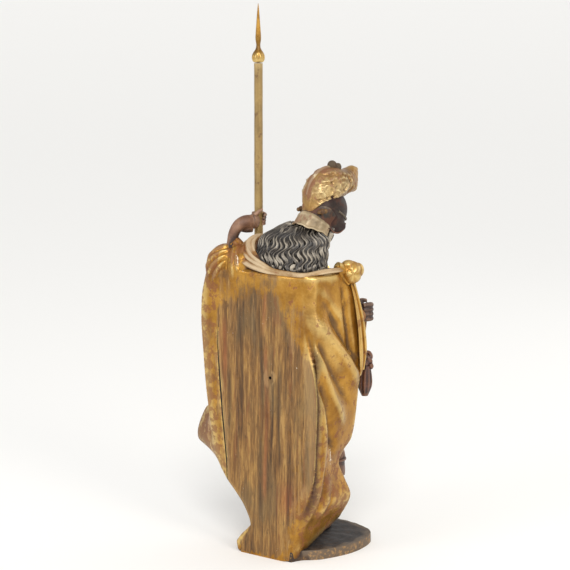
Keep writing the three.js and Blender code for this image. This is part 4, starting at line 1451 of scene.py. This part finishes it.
def makeLeg(side):
    p = {name: np.array(place, float) if name != "lean" else place
         for name, place in legPlaces[side].items()}
    flesh, leather, gold = finish["flesh"], finish["leather"], finish["gold"]
    thigh = carveLimb("thigh", [p["hip"], p["thigh"], p["knee"], mix(p["knee"], p["calf"], 0.4)],
                      [33, 31, 25, 24], 26, 24, flesh)
    knee = carveBall("kneecap", p["knee"] + (0, -16, 0), (14, 11, 16), flesh, 26, 18)
    boot = carveLimb("boot", [mix(p["knee"], p["calf"], 0.25), p["calf"] + (0, 6, 0),
                              mix(p["calf"], p["ankle"], 0.5), p["ankle"], p["heel"]],
                     [25, 25.5, 22, 17.5, 18], 40, 56, leather, section=bootCreases)
    top = mix(p["knee"], p["calf"], 0.2)
    cuff = carveLimb("bootCuff", [top + (0, 0, 4), top + (0, 2, -14), top + (0, 3, -30)],
                     [27.5, 29, 27.5], 48, 10, leather,
                     section=lambda a, t: 1 + 0.06 * np.cos(a * 12) * smoothStep(t, 0.3, 0.9))
    rim = carveLimb("bootRim", [top + (28 * math.cos(a), 28 * math.sin(a), 5 + 0.2 * a)
                                for a in np.linspace(0, 2 * np.pi, 17)], [3] * 4, 10, 60, leather)
    lean = p["lean"]
    heel = p["heel"]
    toe = np.array([heel[0] + 84 * lean, heel[1] - 84, 30])
    foot = carveLimb("foot", [heel + (-12 * lean, 16, -8), heel + (0, 0, -1),
                              (mix(heel[0], toe[0], 0.55), toe[1] + 36, 36), toe + (0, 8, 0)],
                     [13, 19, 17.5, 12], 36, 40, leather, 0.86, (0, 0, 1))
    sole = carveBall("sole", (heel[0] * 0.55 + toe[0] * 0.45, heel[1] * 0.55 + toe[1] * 0.45, 25),
                     (20, 55, 8), leather, 44, 14,
                     axes=[(math.cos(lean), math.sin(lean), 0), (-math.sin(lean), math.cos(lean), 0),
                           (0, 0, 1)])
    straps = []
    for share in (0.32, 0.62):
        middle = mix(heel, toe, share) + (0, 0, 6 - 6 * share)
        reach = 19 - 3 * share
        straps.append(carveLimb(
            "bootStrap", [middle + (-reach, 2, -10), middle + (-reach * 0.7, 0, 5),
                          middle + (0, -2, 12 - 4 * share), middle + (reach * 0.7, 0, 5),
                          middle + (reach, 2, -10)], [3.2] * 5, 10, 26, gold))
    melted = meltTogether("bootBody", [boot, foot, sole], 3.2, 2, leather)
    return fuse("leg", [thigh, knee, melted, cuff, rim] + straps)


# Base

baseShape = {
    "rim": [(-74, 95), (-85, 70), (-117, 36), (-143, -45), (-129, -130), (-70, -164), (0, -171),
            (72, -160), (118, -118), (128, -56), (108, 0), (90, 44), (64, 95)],
    "thickness": 22, "edge": 3, "lower": 6, "centre": (-4, -38), "rings": 17,
    "around": 140, "alongRim": 112, "groundFrom": (0, -40),
}


def makeBase():
    # an oval board: a drawn rim, raised, its edge rounded and its top cut into ridged ground
    s = baseShape
    deselectAll()
    bpy.ops.mesh.primitive_circle_add(vertices=s["around"], radius=0.1, fill_type="NGON")
    piece = bpy.context.object
    piece.name = piece.data.name = "base"
    rim = smoothPath(s["rim"], s["alongRim"])
    shares = np.linspace(0, 1, s["around"] - s["alongRim"] + 2)[1:-1, None]
    outline = np.vstack([rim, mix(rim[-1], rim[0], shares)])
    placePoints(piece, np.column_stack([outline, np.zeros(len(outline))]) * mm)
    middle = Vector((*s["centre"], 0)) * mm
    bpy.ops.object.mode_set(mode="EDIT")
    bpy.ops.mesh.select_all(action="SELECT")
    # how far each ring rises and how much it shrinks: up the side, over the edge, across the top
    steps = [(s["lower"], 1), (s["thickness"] - s["edge"] - s["lower"], 1), (2, 0.992), (1, 0.975)]
    steps += [(0, 1 - 1 / n) for n in range(s["rings"], 1, -1)]
    for rise, grow in steps:
        bpy.ops.mesh.extrude_region_move(TRANSFORM_OT_translate={"value": (0, 0, rise * mm)})
        bpy.ops.transform.resize(value=(grow, grow, 1), center_override=middle)
    bpy.ops.mesh.select_all(action="SELECT")
    bpy.ops.mesh.normals_make_consistent(inside=False)
    bpy.ops.object.mode_set(mode="OBJECT")
    points = pointsOf(piece) / mm
    top = points[:, 2] > s["thickness"] - 0.2
    x, y = points[top, 0], points[top, 1]
    fromX, fromY = s["groundFrom"]
    turn = np.arctan2(y - fromY, x - fromX)
    reach = np.hypot(x - fromX, y - fromY)
    cuts = np.sin(reach * 0.30 + 2.2 * np.sin(turn * 3) + 0.8 * np.sin(x * 0.05))
    cross = np.sin(turn * 17 + reach * 0.05)
    depth = 1.3 * (1 - cuts) * 0.7 + 0.5 * (1 - cross)
    nearLance = bump(np.hypot(x - lanceShape["x"], y - lanceShape["y"]), 0, 16)
    points[top, 2] -= depth * (1 - nearLance)
    side = (points[:, 2] > 4) & ~top
    points[side, 2] += 0.5 * np.sin(points[side, 0] * 0.21) * np.cos(points[side, 1] * 0.17)
    placePoints(piece, points * mm)
    return paint(piece, finish["ground"])


def cutOpenings(figure):
    # the long joint in the back, the nail hole, the split in the base's rim and the lance's way
    dark = finish["ground"]
    marks = backMarks
    line = [(x, 99 - z * backSlope, z) for x, z in marks["crack"]]
    cutWith(figure, carveLimb("crack", line, marks["crackRadii"], 8, 90, dark))
    x, z = marks["hole"]
    deselectAll()
    bpy.ops.mesh.primitive_cylinder_add(vertices=20, radius=marks["holeRadius"] * mm,
                                        depth=60 * mm, location=(x * mm, 96 * mm, z * mm),
                                        rotation=(math.pi / 2, 0, 0))
    hole = bpy.context.object
    bpy.ops.object.transform_apply(location=True, rotation=True, scale=True)
    cutWith(figure, paint(hole, dark))
    split = carveLimb("split", [(-150, -66, 24), (-143, -64, 12), (-146, -62, -2)],
                      [1.0, 1.1, 0.9], 8, 10, dark)
    cutWith(figure, split)
    lance = lanceShape
    way = [(lance["x"], lance["y"], z) for z in (22.5, 400, 770)]
    path = carveLimb("lancePath", way, [lance["wayRadius"]] * 3, 24, 90, finish["gold"])
    return cutWith(figure, path)


def storeValues(piece, name, values):
    attribute = piece.data.attributes.new(name, "FLOAT", "POINT")
    attribute.data.foreach_set("value", np.ascontiguousarray(values, np.float32))


# smoothing passes and height in mm for the fine and the broad relief
reliefScales = {"relief": (4, 1.0), "broad": (60, 8.0)}


def markRelief(piece):
    # ridges above 0.5 and hollows below, for rubbing, dirt, painted highlight and painted shade, at a
    # fine and a broad scale
    points = pointsOf(piece) / mm
    normals = normalsOf(piece)
    count = len(points)
    edges = np.empty(len(piece.data.edges) * 2, int)
    piece.data.edges.foreach_get("vertices", edges)
    a, b = edges[0::2], edges[1::2]
    degree = np.maximum(np.bincount(edges, minlength=count), 1)
    smooth = points.copy()
    for name, (passes, scale) in reliefScales.items():
        for _ in range(passes):
            total = [np.bincount(a, smooth[b, k], count) + np.bincount(b, smooth[a, k], count)
                     for k in range(3)]
            smooth = np.stack(total, axis=1) / degree[:, None]
        rise = ((points - smooth) * normals).sum(axis=1) / scale
        for _ in range(2):
            rise = (rise + (np.bincount(a, rise[b], count)
                            + np.bincount(b, rise[a], count)) / degree) / 2
        storeValues(piece, name, 0.5 + 0.5 * np.tanh(rise))


def crackAt(z):
    # where the long crack is across the back, at each height
    line = sorted((height, across) for across, height in backMarks["crack"])
    return np.interp(z, *np.array(line).T)


def pointOfCloak(x, z):
    # 1 on the cloak's point that stands out to the left
    return smoothStep(x, 160, 176) * smoothStep(z, 176, 196) * (1 - smoothStep(z, 270, 315))


def markBack(piece):
    # where the flat back is bare, streaked, reddened and chipped
    points = pointsOf(piece) / mm
    x, y, z = points.T
    flat = smoothStep(normalsOf(piece)[:, 1], 0.45, 0.85) * smoothStep(y, 72, 84)
    inside = mix(0.44, 1, smoothStep(crackAt(z) - x, -4, 3))
    low = 1 - 0.52 * smoothStep(z + x * 0.25, 520, 585)
    rightTop = 1 - 0.55 * smoothStep(z - (x + 60) * 1.2, 455, 520) * smoothStep(-x, 20, 60)
    rightLow = 1 - 0.5 * smoothStep(-x - z * 0.25, 20, 55) * (1 - smoothStep(z, 130, 200))
    edge = mix(0.45, 1, smoothStep(x - reading(cloakShape["backRightX"], z), -2, 8))
    foot = 1 - 0.8 * smoothStep(x - reading(cloakShape["backLeftX"], z), -4, 6) * (z < 80)
    storeValues(piece, "bare", flat * inside * low * rightTop * rightLow * foot * edge)
    for name in ("streaks", "rust"):
        amount = np.zeros(len(x))
        for across, width, lower, upper in backMarks[name]:
            wander = across + 2.5 * np.sin(z * 0.021 + across)
            along = smoothStep(z, lower - 10, lower + 40)
            along *= 1 - smoothStep(z, upper - 40, upper + 10)
            amount = np.maximum(amount, bump(x, wander, width) * along)
        storeValues(piece, name, amount * flat)
    chip = np.zeros(len(x))
    for start, end, width in backMarks["chips"]:
        distance, _, _ = nearLine(points, [start, end], 20)
        chip = np.maximum(chip, bump(distance, 0, width))
    storeValues(piece, "chip", chip * 0.8)


def markDarkeningAndShade(piece):
    # darker along the hem and on the cloak's point, and painted shade in the deep groove beside the
    # back
    s = cloakShape
    x, y, z = (pointsOf(piece) / mm).T
    rightX = reading(s["backRightX"], z)
    hem = (s["backPlane"] - y) * s["hemRise"] / s["hemFar"]
    soil = (1 - smoothStep(z - hem, 2, 15)) * smoothStep(-x, 60, 85) * (1 - smoothStep(y, 84, 96))
    level = y + z * s["backLean"] / s["leanHeight"]
    onPlane = smoothStep(level, 91, 96) * smoothStep(x - rightX, 3, 12)
    groove = bump(level, 89, 7.5) * (x < rightX + 24) * (1 - onPlane)
    groove *= smoothStep(z, 70, 130) * (1 - smoothStep(z, 440, 510))
    soil = np.maximum(soil, groove)
    storeValues(piece, "soil", np.maximum(soil, pointOfCloak(x, z) * 0.32))
    storeValues(piece, "rim", 1 - smoothStep(z, 18, 21.5))


def calmRelief(piece):
    # no halo round the nail hole and no bright line along the foot
    x, y, z = (pointsOf(piece) / mm).T
    holeX, holeZ = backMarks["hole"]
    nearHole = (np.hypot(x - holeX, z - holeZ) < 10) & (y > 85)
    calm = nearHole | ((z < 16) & (y > 60))
    for name in ("relief", "broad"):
        values = np.empty(len(x), np.float32)
        piece.data.attributes[name].data.foreach_get("value", values)
        values[calm] = 0.5
        piece.data.attributes[name].data.foreach_set("value", values)


wearAndLightMarks = {
    # the smooth band down the back of the crest, and its lobes with a painted highlight, with their
    # reach
    "crestBand": [(-55, -45), (-68, -10), (-72, 22), (-68, 48), (-54, 70), (-36, 86)],
    "crestLights": [(-40, 22, 22), (-14, 40, 20), (4, 58, 12)],
    # the folds with a painted highlight along their ridges
    "litFolds": [[(-128, 66, 515), (-134, 46, 468), (-146, 12, 412)],
                 [(-140, 40, 392), (-142, 8, 340), (-140, -12, 300)]],
    # right hand, left fingers, left wrist with painted shade under it, and the collar's left end, with
    # their reach
    "spots": [((-119, -113, 518), 38), ((75, -12, 722), 12), ((97, 20, 692), 13),
              ((73, 46, 656), 58)],
}


def markWearShadeAndLight(piece):
    # where leaf and paint are rubbed through, where the hands are darker with painted shade under the
    # left wrist, and where a painted highlight lies on fold ridges and crest lobes
    points = pointsOf(piece) / mm
    x, y, z = points.T
    wear = 0.1 + 0.6 * smoothStep(x - crackAt(z), 0, 6) * smoothStep(y, 30, 70)
    wear += 0.35 * smoothStep(z, 560, 600) * smoothStep(x, 40, 90)
    wear += 0.7 * (1 - smoothStep(z, 140, 400)) * smoothStep(-x, 40, 120)
    corner = smoothStep(x - reading(cloakShape["backLeftX"], z), -6, 4) * (1 - smoothStep(z, 60, 90))
    wear = np.maximum(wear, corner * 0.75)
    wear += 0.55 * pointOfCloak(x, z)
    _, forward, up = ((points - np.array(headPose["centre"])) @ headAxes.T).T
    onCrest = (z > 700) & (np.hypot(x + 60, y + 45) < 130)
    side = np.stack([forward, up], axis=1)[onCrest]
    distance, _, _ = nearLine(side, wearAndLightMarks["crestBand"])
    wear[onCrest] = 0.1 + 0.9 * bump(distance, 0, 15)
    light = np.zeros(len(x))
    for ahead, height, reach in wearAndLightMarks["crestLights"]:
        away = np.hypot(forward - ahead, up - height)
        light = np.maximum(light, bump(away, 0, reach) * onCrest)
    for line in wearAndLightMarks["litFolds"]:
        distance, _, _ = nearLine(points, line, 14)
        light = np.maximum(light, bump(distance, 0, 11) * 0.8)
    for place, reach in wearAndLightMarks["spots"]:
        away = np.linalg.norm(points - place, axis=1)
        wear = np.maximum(wear, 1 - smoothStep(away, reach * 0.7, reach))
    storeValues(piece, "light", light)
    storeValues(piece, "wear", wear)


# Lance

lanceShape = {
    "x": 89, "y": -10, "radius": 9.4, "wayRadius": 9.8, "bottom": 22.4, "top": 1049,
    "headProfile": [(8, 1049.4), (12.6, 1053), (14.3, 1059), (14.2, 1064), (12.4, 1070),
                    (8.5, 1075), (5.6, 1079), (4.2, 1085), (4.6, 1091), (6, 1098), (6.3, 1103),
                    (5.6, 1113), (4.4, 1130), (3, 1148), (1.8, 1163), (0.9, 1172), (0.3, 1176)],
    "flutes": 7,
}


def turned(name, sides, profile, material):
    # a shape off the lathe: one ring, pulled up and resized step by step
    s = lanceShape
    middle = Vector((s["x"], s["y"], 0)) * mm
    radius, z = profile[0]
    deselectAll()
    bpy.ops.mesh.primitive_circle_add(vertices=sides, radius=radius * mm, fill_type="NGON",
                                      location=middle + Vector((0, 0, z * mm)))
    piece = bpy.context.object
    piece.name = piece.data.name = name
    bpy.ops.object.transform_apply(location=True, rotation=True, scale=True)
    bpy.ops.object.mode_set(mode="EDIT")
    bpy.ops.mesh.select_all(action="SELECT")
    for nextRadius, nextZ in profile[1:]:
        bpy.ops.mesh.extrude_region_move(
            TRANSFORM_OT_translate={"value": (0, 0, (nextZ - z) * mm)})
        grow = nextRadius / radius
        bpy.ops.transform.resize(value=(grow, grow, 1), center_override=middle)
        radius, z = nextRadius, nextZ
    bpy.ops.mesh.select_all(action="SELECT")
    bpy.ops.mesh.normals_make_consistent(inside=False)
    bpy.ops.object.mode_set(mode="OBJECT")
    return paint(piece, material)


def makeLanceShaft():
    # whittled round by hand: faint flats and swellings down its length
    s = lanceShape
    count = 150
    profile = [(s["radius"], mix(s["bottom"], s["top"], i / count)) for i in range(count + 1)]
    shaft = turned("lanceShaft", 28, profile, finish["lance"])
    points = pointsOf(shaft) / mm
    way = points[:, :2] - (s["x"], s["y"])
    angle = np.arctan2(way[:, 1], way[:, 0])
    z = points[:, 2]
    swell = (0.010 * np.sin(z * 0.031) + 0.012 * np.sin(z * 0.083 + angle * 2)
             + 0.014 * np.cos(angle * 5 + z * 0.012))
    points[:, :2] += way * (swell - 0.02)[:, None]
    placePoints(shaft, points * mm)
    return shaft


def makeLanceHead():
    s = lanceShape
    head = turned("lanceHead", 56, s["headProfile"], finish["lanceHead"])
    smooth = head.modifiers.new("smooth", "SUBSURF")
    smooth.levels = smooth.render_levels = 1
    applyAll(head)
    points = pointsOf(head) / mm
    way = points[:, :2] - (s["x"], s["y"])
    angle = np.arctan2(way[:, 1], way[:, 0])
    on = bump(points[:, 2], 1062, 11)
    flute = 0.10 * on * (np.abs(np.cos(angle * s["flutes"] / 2)) ** 0.6 - 1)
    points[:, :2] += way * flute[:, None]
    placePoints(head, points * mm)
    return head


# Put together

heaviest = 190000

base = makeBase()
cloakPiece = makeCloak()
print("cloak", len(cloakPiece.data.polygons))
groups = [
    makeCollar(), makeLeftShoulder(), makeTorso(), makeMantle(), makeSkirt(), makeLeg(1),
    makeLeg(-1), makeFace(), makeBeard(), makeHelmet(), makeHair(), makeLeftArm(),
    makeRightArm(), makeClasp(), makeStrap(), makeKnot(),
]
for part in groups:
    print(part.name, len(part.data.polygons))
figure = fuse("saintFigure", [cloakPiece, base] + groups)
figure = cutOpenings(figure)
print("figure joined")
choose(figure)
bpy.ops.object.mode_set(mode="EDIT")
bpy.ops.mesh.select_all(action="SELECT")
bpy.ops.mesh.quads_convert_to_tris()
bpy.ops.object.mode_set(mode="OBJECT")
print("figure triangles", len(figure.data.polygons))
shaft = makeLanceShaft()
spike = makeLanceHead()
for piece in (figure, shaft, spike):
    markRelief(piece)
markBack(figure)
markDarkeningAndShade(figure)
calmRelief(figure)
markWearShadeAndLight(figure)
choose(figure)
lighter = figure.modifiers.new("lighter", "DECIMATE")
lighter.ratio = min(1, heaviest / len(figure.data.polygons))
bpy.ops.object.modifier_apply(modifier=lighter.name)
print("figure triangles kept", len(figure.data.polygons))
for piece in (figure, shaft, spike):
    choose(piece)
    bpy.ops.object.shade_smooth_by_angle(angle=math.radians(50))

for piece, node, slot in ((figure, "figure", "gilded_wood"),
                          (shaft, "lance_shaft", "dull_gilt_shaft"),
                          (spike, "lance_head", "bright_gilt_head")):
    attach(piece, "root")
    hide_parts(node)
print("pieces placed")


# Room, light and camera

studio = {
    "camera": (-2116, 2912, 1160), "aim": (7.3, 5.3, 579), "lens": 107.4, "farthest": 500,
    "floor": "#F6F5F2", "floorSize": 120, "levelTo": 12, "rise": 9, "sky": 0.66,
    # where the daylight comes from, how wide and how strong it is
    "day": (-700, 1000, 1050), "dayWidth": 24, "dayPower": 1.45,
    # place of each light, its size, its power and its colour; all look at one place
    "lightsAim": (0, 0, 550),
    "lights": [((-2600, 900, 1900), 900, 22, "#FFF6EA"), ((900, 2700, 1700), 900, 16, "#F6F8FF"),
               ((-1500, -3000, 1800), 2200, 14, "#FFFFFF")],
}

deselectAll()
bpy.ops.mesh.primitive_grid_add(x_subdivisions=40, y_subdivisions=40, size=studio["floorSize"],
                                location=(0, 0, 0))
floor = bpy.context.object
floor.name = "floor"
# level round the statue, and rising far off like a backdrop
points = pointsOf(floor)
far = np.maximum(np.hypot(points[:, 0], points[:, 1]) - studio["levelTo"], 0)
points[:, 2] = studio["rise"] * (far / studio["floorSize"] * 2) ** 2
placePoints(floor, points)
bpy.ops.object.shade_smooth()
paper, paperPlace = startFinish("palePaper")
finishWith(paper, paperPlace.noise(40, 2), 0.02, 0.0005, Base_Color=tone(studio["floor"]),
           Roughness=0.9)
paint(floor, paper)

bpy.ops.object.light_add(type="SUN", location=Vector(studio["day"]) * mm)
day = bpy.context.object
day.data.energy = studio["dayPower"]
day.data.angle = math.radians(studio["dayWidth"])
day.rotation_euler = day.location.to_track_quat("Z", "Y").to_euler()

for place, size, power, colour in studio["lights"]:
    bpy.ops.object.light_add(type="AREA", location=Vector(place) * mm)
    light = bpy.context.object
    light.data.size = size * mm
    light.data.energy = power
    light.data.color = tone(colour)[:3]
    way = Vector(studio["lightsAim"]) * mm - light.location
    light.rotation_euler = way.to_track_quat("-Z", "Y").to_euler()

world = bpy.data.worlds.new("studio")
bpy.context.scene.world = world
world.use_nodes = True
sky = world.node_tree.nodes["Background"]
sky.inputs["Color"].default_value = (1, 1, 1, 1)
sky.inputs["Strength"].default_value = studio["sky"]

eye = Vector(studio["camera"]) * mm
bpy.ops.object.camera_add(location=eye)
camera = bpy.context.object
camera.rotation_euler = (Vector(studio["aim"]) * mm - eye).to_track_quat("-Z", "Y").to_euler()
camera.data.lens = studio["lens"]
camera.data.clip_end = studio["farthest"]
bpy.context.scene.camera = camera
bpy.context.scene.view_settings.view_transform = "Standard"

print("studio ready")
